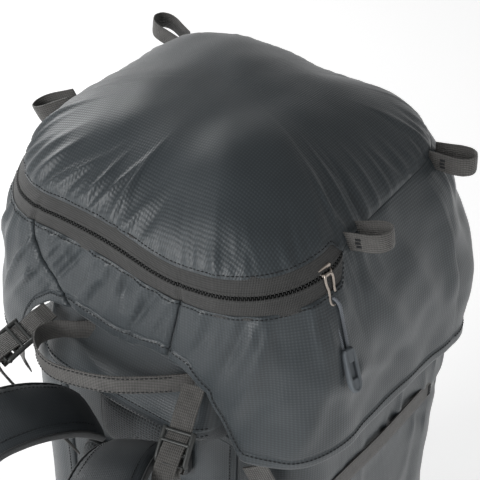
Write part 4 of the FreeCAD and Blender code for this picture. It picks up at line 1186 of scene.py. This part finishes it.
sack_panels = [("sack_left_cloth", 3, 0, "left_side_panel"), ("sack_back_cloth", 0, 1, "back_panel"),
               ("sack_right_cloth", 1, 2, "right_side_panel"), ("sack_front_cloth", 2, 3, "front_panel")]
sack_columns = [int(np.argmin(np.abs(sack_ring - seam_s))) for seam_s in sack_seams]
for label, first, last, cad_name in sack_panels:
    columns = ring_columns(sack_columns[first], sack_columns[last])
    part_uv = unwrapped(sack_uv[:base_row + 1, columns], sack_round)
    panel = thicken(grid_mesh(label, sack[:base_row + 1, columns], part_uv))
    finish_piece(panel, "pack", shell_nylon, [cad_name])

base_nylon = coated_nylon("heavy base nylon", "#303539", "#272B2E", 1.2, 0.45)
under = [sack[-1]]
for share in (0.97, 0.9, 0.6, 0.3, 0):
    ring = sack[-1] * (share, share, 1)
    ring[:, 2] = 0.6 + 0.2 * share
    under.append(ring)
base_points = np.concatenate([sack[base_row:], np.array(under[1:])])
base_uv = np.concatenate([sack_uv[base_row:], np.array(under[1:])[:, :, :2]])
finish_piece(grid_mesh("sack_base_cloth", base_points, base_uv, close=True), "pack", base_nylon,
             ["base_panel"])
sack_lines = []
for seam_column in sack_columns:
    column = (seam_column + 2) % RING_STEPS
    normal = sack_normal[:base_row, column]
    sack_lines.append((sack[:base_row, column] + normal * 0.2, normal))
seam_row = int(np.argmin(np.abs(sack_z - BASE_TOP + 7)))
sack_lines.append((sack[seam_row] + sack_normal[seam_row] * 0.2, sack_normal[seam_row]))
stitching("sack_stitching", sack_lines, "pack")

# Deck and collar: the bag's shoulder slopes in to a tall collar that the drawcord gathers shut.
COLLAR = (94, 120, 100, 40)
DECK_ROWS = 26
deck = np.zeros((DECK_ROWS, RING_STEPS, 3))
for row, share in enumerate(np.linspace(0, 1, DECK_ROWS)):
    outline = [a + (b - a) * share for a, b in zip(sack_outline(SACK_TOP), COLLAR)]
    deck[row, :, :2] = ring_points(*outline)
    deck[row, :, 2] = SACK_TOP + 12 * share ** 0.7
deck[0] = sack[0]
deck_folds = ripple(deck, 26, 2.2, 17.0) * np.sin(np.linspace(0, math.pi, DECK_ROWS))[:, None]
deck[:, :, 2] += np.clip(deck_folds, -2.5, 1.0)
finish_piece(grid_mesh("sack_deck_cloth", deck, deck[:, :, :2], close=True), "pack", shell_nylon,
             ["deck_panel"])

COLLAR_ROWS = 70
COLLAR_TOP = 559
collar = np.zeros((COLLAR_ROWS, RING_STEPS, 3))
for row, share in enumerate(np.linspace(0, 1, COLLAR_ROWS)):
    collar[row, :, :2] = ring_points(*(np.array(COLLAR) - (1, 2, 1, 0)))
    collar[row, :, 2] = COLLAR_TOP - 89 * share
collar_ring, collar_round = ring_length(collar[0, :, :2])
collar_s = np.broadcast_to(collar_ring, collar.shape[:2])
collar_d = np.broadcast_to((COLLAR_TOP - collar[:, 0, 2])[:, None], collar.shape[:2])
collar_height = folds(collar_s, collar_d, gathers(41, 0, collar_round, 14, 90, 8, 36, 2.8, 1.3))
collar_height += ripple(collar, 40, 2.0, 19.0)
collar_height = np.clip(collar_height, -3, 1.6) * np.clip(collar_d / 12, 0.3, 1)
collar_height -= 0.8 * bell(collar_d - 24, 1.2)
collar += grid_normals(collar, close=True) * collar_height[:, :, None]
collar_uv = np.stack([collar_s, collar[:, :, 2]], axis=-1)
collar_piece = thicken(grid_mesh("collar_cloth", collar, collar_uv, close=True), 0.7)
finish_piece(collar_piece, "pack", lining_nylon, ["collar"])

eyelet_brass = worn_metal("blackened brass", "#6A655C", (0.25, 0.5), (2, 2, 2))
eyelets = []
turn = np.linspace(0, 2 * math.pi, 41)
for y, out_sign in ((-121.2, -1), (100.2, 1)):
    for x in (-45, -15, 15, 45):
        circle = np.stack([x + 4.5 * np.cos(turn), np.full(41, y), 546 + 4.5 * np.sin(turn)], axis=-1)
        eyelets.append(sweep(f"eyelet_{x}_{out_sign}", circle, (0, 1, 0), round_section(1.0, 2.8, 2, 10)))
finish_piece(joined("collar_eyelet_rings", eyelets), "pack", eyelet_brass, ["collar_eyelets"])

# The lid's floor closes it from below, one soft sheet inside the skirt.
LID_FLOOR_ROWS = 24
LID_FLOOR_AT = 569
floor_ring = np.zeros((LID_FLOOR_ROWS, RING_STEPS, 3))
for row, share in enumerate(np.linspace(1, 0, LID_FLOOR_ROWS)):
    floor_ring[row, :, :2] = ring_points(160 * share, 137 * share, 144 * share, 82 * share)
    floor_ring[row, :, 2] = LID_FLOOR_AT
floor_slack = np.sin(np.linspace(0, math.pi, LID_FLOOR_ROWS))[:, None]
floor_ring[:, :, 2] += np.clip(ripple(floor_ring, 60, 3.0, 23.0), -3.0, 1.0) * floor_slack
lid_floor = thicken(grid_mesh("lid_floor_cloth", floor_ring, floor_ring[:, :, :2], close=True))
finish_piece(lid_floor, "lid", lining_nylon, ["lid_floor"])

# ---------------------------------------------------------------- back pads and yoke
# Moulded foam under warp-knitted spacer mesh, with channels pressed across it. Narrow woven tape
# binds the edges, and the pads are sewn to the back panel through it.

HOLE_DEPTH_MM = 0.6


def spacer_knit(name, base, dark, pitch):
    """Warp-knitted spacer mesh: rows of small open holes, recessed, with painted shade darkening them inside.
    """
    material, tree, shader = new_material(name)
    uv = add(tree, "ShaderNodeUVMap")
    split = add(tree, "ShaderNodeSeparateXYZ", {"Vector": uv.outputs[0]})
    waves = []
    for output, size in ((split.outputs[0], pitch), (split.outputs[1], pitch * 0.87)):
        turn = add(tree, "ShaderNodeMath", {0: output, 1: math.pi / size}, operation="MULTIPLY")
        waves.append(add(tree, "ShaderNodeMath", {0: turn.outputs[0]}, operation="SINE").outputs[0])
    cells = add(tree, "ShaderNodeMath", {0: waves[0], 1: waves[1]}, operation="MULTIPLY")
    depth = add(tree, "ShaderNodeMath", {0: cells.outputs[0]}, operation="ABSOLUTE")
    hole_and_shade = add(tree, "ShaderNodeMapRange", {"Value": depth.outputs[0], "From Min": 0.35, "From Max": 0.75})
    # Painted shade: the colour darkens towards the second colour inside each hole.
    tone = add(tree, "ShaderNodeMix", {"Factor": hole_and_shade.outputs[0], "A": linear(base), "B": linear(dark)},
               data_type="RGBA")
    relief = add(tree, "ShaderNodeBump", {"Height": hole_and_shade.outputs[0], "Strength": 0.8,
                                          "Distance": HOLE_DEPTH_MM * MM}, invert=True)
    plug(tree, shader, {"Base Color": tone.outputs["Result"], "Normal": relief.outputs[0],
                        "Roughness": 0.85, "Sheen Weight": 0.25})
    return material


# The second colour, near black, is the painted shade in the mesh's holes.
spacer_mesh = spacer_knit("warp-knitted spacer mesh", "#3F4447", "#15171A", 3.0)
binding = woven_tape("woven edge binding", "#2F3234", "#212325", 1.1, 0.15, 0.7)

PAD_EDGE = 2.0


def pad(name, centre, up, wide, tall, thick, replaced, corner, channels=(), taper=0.0):
    """A crowned foam pad on the back panel, facing the wearer, with a bound edge. A channel is its
    place up the pad, its depth and its half width."""
    centre = np.asarray(centre, float)
    up = unit(up)
    across = unit(np.cross(up, (0, -1, 0)))
    out = np.cross(across, up)
    turn = np.linspace(0, 2 * math.pi, 160, endpoint=False)
    power = 2 / (2 + 6 * (1 - corner))
    edge_x = signed_power(np.cos(turn), power)
    edge_y = signed_power(np.sin(turn), power)
    rows, coords = [], []
    for share in np.sin(np.linspace(math.pi / 2, 0.02, 34)):
        y = edge_y * share * tall / 2
        x = edge_x * share * wide / 2 * (1 + taper * y / tall)
        crown = (1 - share ** 5) ** 0.5 * (0.86 + 0.14 * (1 - share ** 2))
        for at, deep, broad in channels:
            crown = crown - deep * bell(y - at * tall / 2, broad)
        rise = np.broadcast_to(PAD_EDGE + (thick - PAD_EDGE) * np.maximum(crown, 0.02), x.shape)
        rows.append(centre + across * x[:, None] + up * y[:, None] + out * rise[:, None])
        coords.append(np.stack([x, y], axis=-1))
    back = [centre + across * (edge_x * s * wide / 2 * (1 + taper * edge_y / 2))[:, None]
            + up * (edge_y * s * tall / 2)[:, None] + out * 0.3 for s in (0.02, 0.97)]
    coords = [coords[-1], coords[0]] + coords
    points = np.array(back + rows)
    piece = outward_faces(grid_mesh(name, points, np.array(coords), close=True))
    finish_piece(piece, "pack", spacer_mesh, replaced)
    rim = np.concatenate([rows[0], rows[0][:1]]) + out * 0.2
    bound = sweep(f"{name}_binding", rim, out, round_section(5.2, 2.2, 3, 12))
    finish_piece(bound, "pack", binding)


BACK_FACE = -120.6
BACK_PAD_LEAN = 0.08
BACK_PAD_HALF = 107
for side, sign in (("left", 1), ("right", -1)):
    middle = (sign * 60 - sign * BACK_PAD_LEAN * BACK_PAD_HALF, BACK_FACE, 165 + BACK_PAD_HALF)
    pad(f"back_pad_{side}_foam", middle, (-BACK_PAD_LEAN * sign, 0, 1), 59, 211, 17, [f"back_pad_{side}"],
        0.42, ((-0.36, 0.3, 5), (0.3, 0.3, 5)))
pad("lumbar_pad_foam", (0, BACK_FACE, 97.5), (0, 0, 1), 166, 91, 23, ["lumbar_pad"], 0.5, ((0.0, 0.22, 6),),
    0.16)
pad("harness_yoke_foam", (0, BACK_FACE, 425), (0, 0, 1), 93, 55, 13, ["harness_yoke"], 0.3)

# ---------------------------------------------------------------- shoulder straps
# Die-cut foam in smooth cloth outside and mesh inside, its edge turned and stitched in small
# gathers. A webbing runs on from the foot, and a narrow one from the inner edge to the chest.

STRAP_SHAPE = [(-15, -14), (-4, -3), (12, 9), (36, 18.5), (60, 21.5), (82, 16.5), (100, -6), (107.5, -40),
               (106, -84), (99, -128), (86, -168), (70, -205)]
STRAP_STEP = 2.2
PUCKER_PITCH = 6.5
MESH_HALF = 20
for side, sign in (("left", 1), ("right", -1)):
    body = f"shoulder_{side}"
    up = unit((-0.2 * sign, 0, 0.98))
    outward = np.array((0.38 * sign, -0.92, 0))
    outward = unit(outward - up * outward.dot(up))
    sideways = np.cross(outward, up)
    root = np.array((sign * 34.0, -168, 460))
    path = smooth_path([root + outward * x + up * y for x, y in STRAP_SHAPE], STRAP_STEP)
    share = np.linspace(0, 1, len(path))
    width = 0.80 + 0.2 * np.sin(np.clip(share * 2.6, 0, 1) * math.pi / 2)
    width -= 0.28 * np.clip((share - 0.55) / 0.45, 0, 1)
    height = 0.55 + 0.45 * np.clip(share / 0.08, 0, 1) ** 0.5
    height *= 0.45 + 0.55 * np.clip((1 - share) / 0.07, 0, 1) ** 0.5
    turn = np.linspace(0, 2 * math.pi, 56, endpoint=False)
    c, s = np.cos(turn), np.sin(turn)
    section = np.stack([signed_power(c, 0.62) * 29.5, signed_power(s, 0.8) * 7.2], axis=-1)
    far = share * STRAP_STEP * len(path)
    edge = np.abs(c) ** 8
    pucker = 0.7 * np.sin(far * 2 * math.pi / PUCKER_PITCH + 1.7 * np.sin(far / 17))[:, None] * edge[None, :]
    lift = pucker + 0.6 * np.sin(far / 13)[:, None] * (1 - edge)[None, :] * np.sin(turn * 2)[None, :]
    strap = sweep(f"shoulder_strap_{side}_foam", path, sideways, section, width, height, lift)
    finish_piece(strap, body, pad_cloth, [f"shoulder_strap_{side}"])
    _, across, out = path_frames(path, sideways)
    trim_lines = []
    for edge_at in (-1, 1):
        rim = path + across * (edge_at * 29.8 * width)[:, None]
        edge_name = "inner" if edge_at * sign < 0 else "outer"
        piping = sweep(f"shoulder_strap_{side}_{edge_name}_binding", rim, out, round_section(7.4, 2.4, 3, 12),
                       height ** 0.5)
        finish_piece(piping, body, binding)
        for face in (-1, 1):
            line = path + across * (edge_at * 22 * width)[:, None] + out * (face * 6.15 * height)[:, None]
            trim_lines.append((line[6:-6], out[6:-6] * face))
    stitching(f"shoulder_strap_{side}_stitching", trim_lines, body)
    mesh_rows = []
    mesh_uv = []
    inner = 1 if np.dot(out[len(path) // 2], (0, -1, 0)) < 0 else -1
    for column in np.linspace(-1, 1, 15):
        belly = 7.5 * (1 - abs(column) ** 3) ** 0.5 + 0.2
        line = (path + across * (column * MESH_HALF * width)[:, None]
                + out * (inner * (belly * height + 0.25))[:, None])
        mesh_rows.append(line[10:-8])
        mesh_uv.append(np.stack([np.full(len(path) - 18, column * MESH_HALF), far[10:-8]], axis=-1))
    lining = grid_mesh(f"shoulder_strap_{side}_mesh", np.array(mesh_rows), np.array(mesh_uv))
    finish_piece(lining, body, spacer_mesh)
    foot = path[-1]
    tail = root + outward * 6 + up * -285
    hanging = [foot + unit(foot - tail) * 16, foot, foot * 0.5 + tail * 0.5 + outward * 3, tail]
    webbing(f"strap_webbing_{side}_ribbon", hanging, sideways, 19.5, body, [f"strap_webbing_{side}"])
    chest = root + outward * 106 - up * 70 + sideways * (sign * 30 * (1 if sideways[0] * sign < 0 else -1))
    chest_end = np.array((sign * 22.0, chest[1], chest[2]))
    chest_sag = chest * 0.6 + chest_end * 0.4 + np.array((0, 0, -1.5))
    webbing(f"sternum_strap_{side}_ribbon", [chest, chest_sag, chest_end], (0, 0, 1), 15.5, body,
            [f"sternum_strap_{side}"], material=narrow_weave)

# ---------------------------------------------------------------- hip belt
# Two padded wings of foam in nylon cloth, with two stitched grooves along them and bound edges.
# Each is sewn into the sack's lower back and ends in a webbing.

for side, sign in (("left", 1), ("right", -1)):
    body = f"hip_{side}"
    path = smooth_path([(sign * 94, -140, 101), (sign * 120, -143, 101), (sign * 146, -153, 101),
                        (sign * 165, -174, 101), (sign * 175, -204, 100), (sign * 175, -234, 99),
                        (sign * 172, -262, 98)], 2.2)
    share = np.linspace(0, 1, len(path))
    width = 1 - 0.42 * np.clip((share - 0.3) / 0.7, 0, 1) ** 1.4 - 0.1 * (1 - np.clip(share / 0.1, 0, 1))
    height = 0.5 + 0.5 * np.clip(share / 0.06, 0, 1) ** 0.5
    height *= 0.45 + 0.55 * np.clip((1 - share) / 0.08, 0, 1) ** 0.5
    turn = np.linspace(0, 2 * math.pi, 56, endpoint=False)
    c, s = np.cos(turn), np.sin(turn)
    section = np.stack([signed_power(c, 0.6) * 38, signed_power(s, 0.8) * 6.8], axis=-1)
    grooves = sum(bell(section[:, 0] - at, 2.6) for at in (-14, 14)) * np.sign(section[:, 1])
    lift = -1.5 * grooves[None, :] * np.clip(np.sin(share * math.pi) * 2, 0, 1)[:, None]
    wing = sweep(f"hip_wing_{side}_foam", path, (0, 0, 1), section, width, height, lift)
    finish_piece(wing, body, pad_cloth, [f"hip_wing_{side}"])
    _, across, out = path_frames(path, (0, 0, 1))
    for edge_at in (-1, 1):
        rim = path + across * (edge_at * 38.2 * width)[:, None]
        piping = sweep(f"hip_wing_{side}_{'upper' if edge_at > 0 else 'lower'}_binding", rim, out,
                       round_section(7.4, 2.6, 3, 12), height ** 0.5)
        finish_piece(piping, body, binding)
    belt = [(sign * 172.4, -244, 98), (sign * 171.8, -262, 99), (sign * 170.6, -276, 100),
            (sign * 168, -290, 101)]
    webbing(f"hip_webbing_{side}_ribbon", belt, (0, 0, 1), 24.5, body, [f"hip_webbing_{side}"])

# ---------------------------------------------------------------- pockets
# Two side pockets and a patch pocket on the front, of stretch woven cloth, sewn to the sack at the
# sides and foot. An elastic in each hem draws the mouth in and puckers it.

# The second colour is the painted shade in the cloth's holes.
stretch_knit = spacer_knit("stretch woven pocket cloth", "#33383B", "#202326", 1.4)


def patch_pocket(name, centre, sideways, out, half, depth, low, high, cad_name, seed):
    """A patch pocket swelling from the wall, its mouth drawn in by elastic."""
    centre, sideways, out = [np.asarray(v, float) for v in (centre, sideways, out)]
    rows, columns = 70, 110
    points = np.zeros((rows, columns, 3))
    uv = np.zeros((rows, columns, 2))
    for row, rise in enumerate(np.linspace(0, 1, rows)):
        z = low + (high - low) * rise
        narrow = 1 - 0.12 * (1 - rise) ** 4 - 0.05 * rise ** 5
        swell = (1 - (1 - min(1, rise / 0.16)) ** 2.4) * (1 - 0.16 * max(0, (rise - 0.7) / 0.3) ** 2)
        for column, t in enumerate(np.linspace(-1, 1, columns)):
            profile = (1 - abs(t) ** 6) ** 0.5
            rise_here = 0.6 + (depth - 1.4) * profile * swell
            points[row, column] = centre + sideways * t * half * narrow + out * rise_here
            points[row, column, 2] = z
            uv[row, column] = (t * half, z)
    s = uv[:, :, 0]
    d = high - uv[:, :, 1]
    pleats = gathers(seed, -half + 4, half - 4, 10, 90, 6.5, 17, 2.2, 1.0)
    height = folds(s, d, pleats) + ripple(points, 34, 2.0, seed)
    height = np.clip(height, -2.5, 0.8)
    height += 0.9 * np.clip(1 - np.abs(d - 5) / 5.5, 0, 0.35) / 0.35
    height -= 0.9 * bell(d - 11.5, 1.2)
    normal = grid_normals(points)
    if (normal * out).sum() < 0:
        normal = -normal
    edge = np.clip((1 - np.abs(np.linspace(-1, 1, columns))) / 0.05, 0, 1)[None, :]
    points += normal * (height * edge)[:, :, None]
    pocket = thicken(grid_mesh(name, points, uv), 0.9)
    finish_piece(pocket, "pack", stretch_knit, [cad_name])
    row = int(np.argmin(np.abs((high - 9.8) - np.linspace(low, high, rows))))
    facing = normal[row, 3:-3]
    stitching(f"{name}_stitching", [(points[row, 3:-3] + facing * 0.3, facing)], "pack")


for side, sign in (("left", 1), ("right", -1)):
    patch_pocket(f"side_pocket_{side}_cloth", (sign * 148.5, 0, 0), (0, 1, 0), (sign, 0, 0), 66, 27, 47, 172,
                 f"side_pocket_{side}", 61 + sign)
patch_pocket("front_pocket_cloth", (0, 128.0, 0), (1, 0, 0), (0, 1, 0), 92, 21, 118, 262, "front_pocket", 71)

# ---------------------------------------------------------------- bottom zip
# The zip of the lower compartment, across the front just above the base: two woven tapes, nylon
# teeth between them, and a small zinc slider with a flat tab.

ZIP_FACE = 130.2
lower_line = smooth_path([(x, ZIP_FACE, 90 + 1.2 * math.sin(x / 30)) for x in range(-88, 89, 8)], 2.0)
tape_parts = []
for rise in (-5.6, 5.6):
    tape_parts.append(sweep(f"bottom_tape_{rise}", lower_line + np.array((0, 0, rise)), (0, 0, 1),
                            ribbon_section(8.6, 1.2)))
finish_piece(joined("bottom_zip_tapes", tape_parts), "pack", zip_weave, ["bottom_zip"])
lower_far = run_length(lower_line)
teeth = []
for number in range(int(lower_far[-1] / TOOTH_PITCH)):
    spot = [np.interp((number + 0.5) * TOOTH_PITCH, lower_far, lower_line[:, k]) for k in range(3)]
    teeth.append(np.array(spot) + np.array((0, 0.2, 0.75 * (-1) ** number)))
along, out, across = [[axis] * len(teeth) for axis in np.eye(3)]
beads("bottom_zip_teeth", teeth, along, across, out, (1.25, 0.62, 0.9), "pack", coil_nylon, ["bottom_zip"])
tab_path = smooth_path([(x, 133.0, 90.0) for x in (69.2, 72, 76, 80, 82.8)], 0.8)
lower_slider = [sweep("bottom_slider_plate", tab_path, (0, 0, 1), round_section(10.4, 2.2, 4, 20),
                      1 - 0.25 * np.linspace(0, 1, len(tab_path)) ** 2)]
tab_pull = smooth_path([(72, 134.2, z) for z in (91, 88, 82, 76, 72)], 1.0)
lower_slider.append(sweep("bottom_slider_pull", tab_pull, (1, 0, 0), round_section(4.6, 1.3, 3, 16)))
finish_piece(joined("bottom_zip_slider_casting", lower_slider), "bottom_slider", zip_zinc,
             ["bottom_zip_slider"])

# ---------------------------------------------------------------- side, lid and front straps
# Ribbed polyester webbing, bar-tacked to the sack: two compression straps across each side, and
# two straps in front that meet the lid's own at a buckle.

SIDE_STRAP_RUN = [(-85, 0.2, 0), (-50, 1.3, 0.6), (0, 1.8, -0.8), (50, 1.3, 0.4), (85, 0.2, 0)]
for side, sign in (("left", 1), ("right", -1)):
    for level, height_at in (("low", 260), ("high", 405)):
        run = [(sign * (150.4 + bow), y, height_at + drift) for y, bow, drift in SIDE_STRAP_RUN]
        webbing(f"side_strap_{level}_{side}_ribbon", run, (0, 0, 1), 19.5, "pack", [f"side_straps_{side}"])
        for end, y in (("rear", -82), ("front", 82)):
            bar_tack(f"side_strap_{level}_{side}_tack_{end}", (sign * 151.6, y, height_at), (0, 0, 1),
                     (0, 1, 0), (sign, 0, 0), 19, "pack")

# The lid's straps lie along the arc that they swing through about the lid's hinge.
HINGE = np.array((0, -142.0, 548.0))
BUCKLE_LONG = 24.3 + 18.4
strap_top = np.array((0, 149.5, 478.0))
reach = strap_top - HINGE
swing = unit((0, -reach[2], reach[1]))
facing = np.array((0, swing[2], -swing[1]))
for side, sign in (("left", 1), ("right", -1)):
    across = np.array((sign * 72.0, 0, 0))
    start = strap_top + across
    low_end = start - swing * 14
    hanging = [start + swing * 8 + facing * 1.2, start, low_end - swing * 3]
    webbing(f"lid_strap_{side}_ribbon", hanging, (1, 0, 0), 19.5, "lid", ["lid_straps"])
    tongue_foot = low_end - swing * BUCKLE_LONG
    anchor = np.array((sign * 72, 131.0, 372))
    sag = tongue_foot * 0.45 + anchor * 0.55 + np.array((0, 1.6, 0))
    rising = [anchor, sag, tongue_foot - swing * 1.0, tongue_foot + swing * 4]
    webbing(f"front_strap_{side}_ribbon", rising, (1, 0, 0), 19.5, "pack", ["front_straps"])
    bar_tack(f"front_strap_{side}_tack", anchor + np.array((0, 1.2, 3)), (1, 0, 0), (0, 0, 1), (0, 1, 0), 19,
             "pack")

# ---------------------------------------------------------------- remaining frame parts
# The frame sheet is extruded polyethylene, and the two stays are flat aluminium bar, both inside
# the back. Buckle halves are moulded acetal. They keep the shapes of the frame.

sheet_plastic = moulded("extruded polyethylene sheet", "#2E3032", 0.5, 0.8, 0.05)
stay_alloy = worn_metal("rolled aluminium bar", "#C9CACB", (0.25, 0.45), (0.66667, 0.66667, 33.3333))
kept_shapes = {"frame_sheet": sheet_plastic, "frame_stays": stay_alloy, "buckle_tongues": acetal,
               "buckle_sleeves": acetal}
for node, material in kept_shapes.items():
    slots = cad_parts[node].data.materials
    slots.clear()
    slots.append(material)
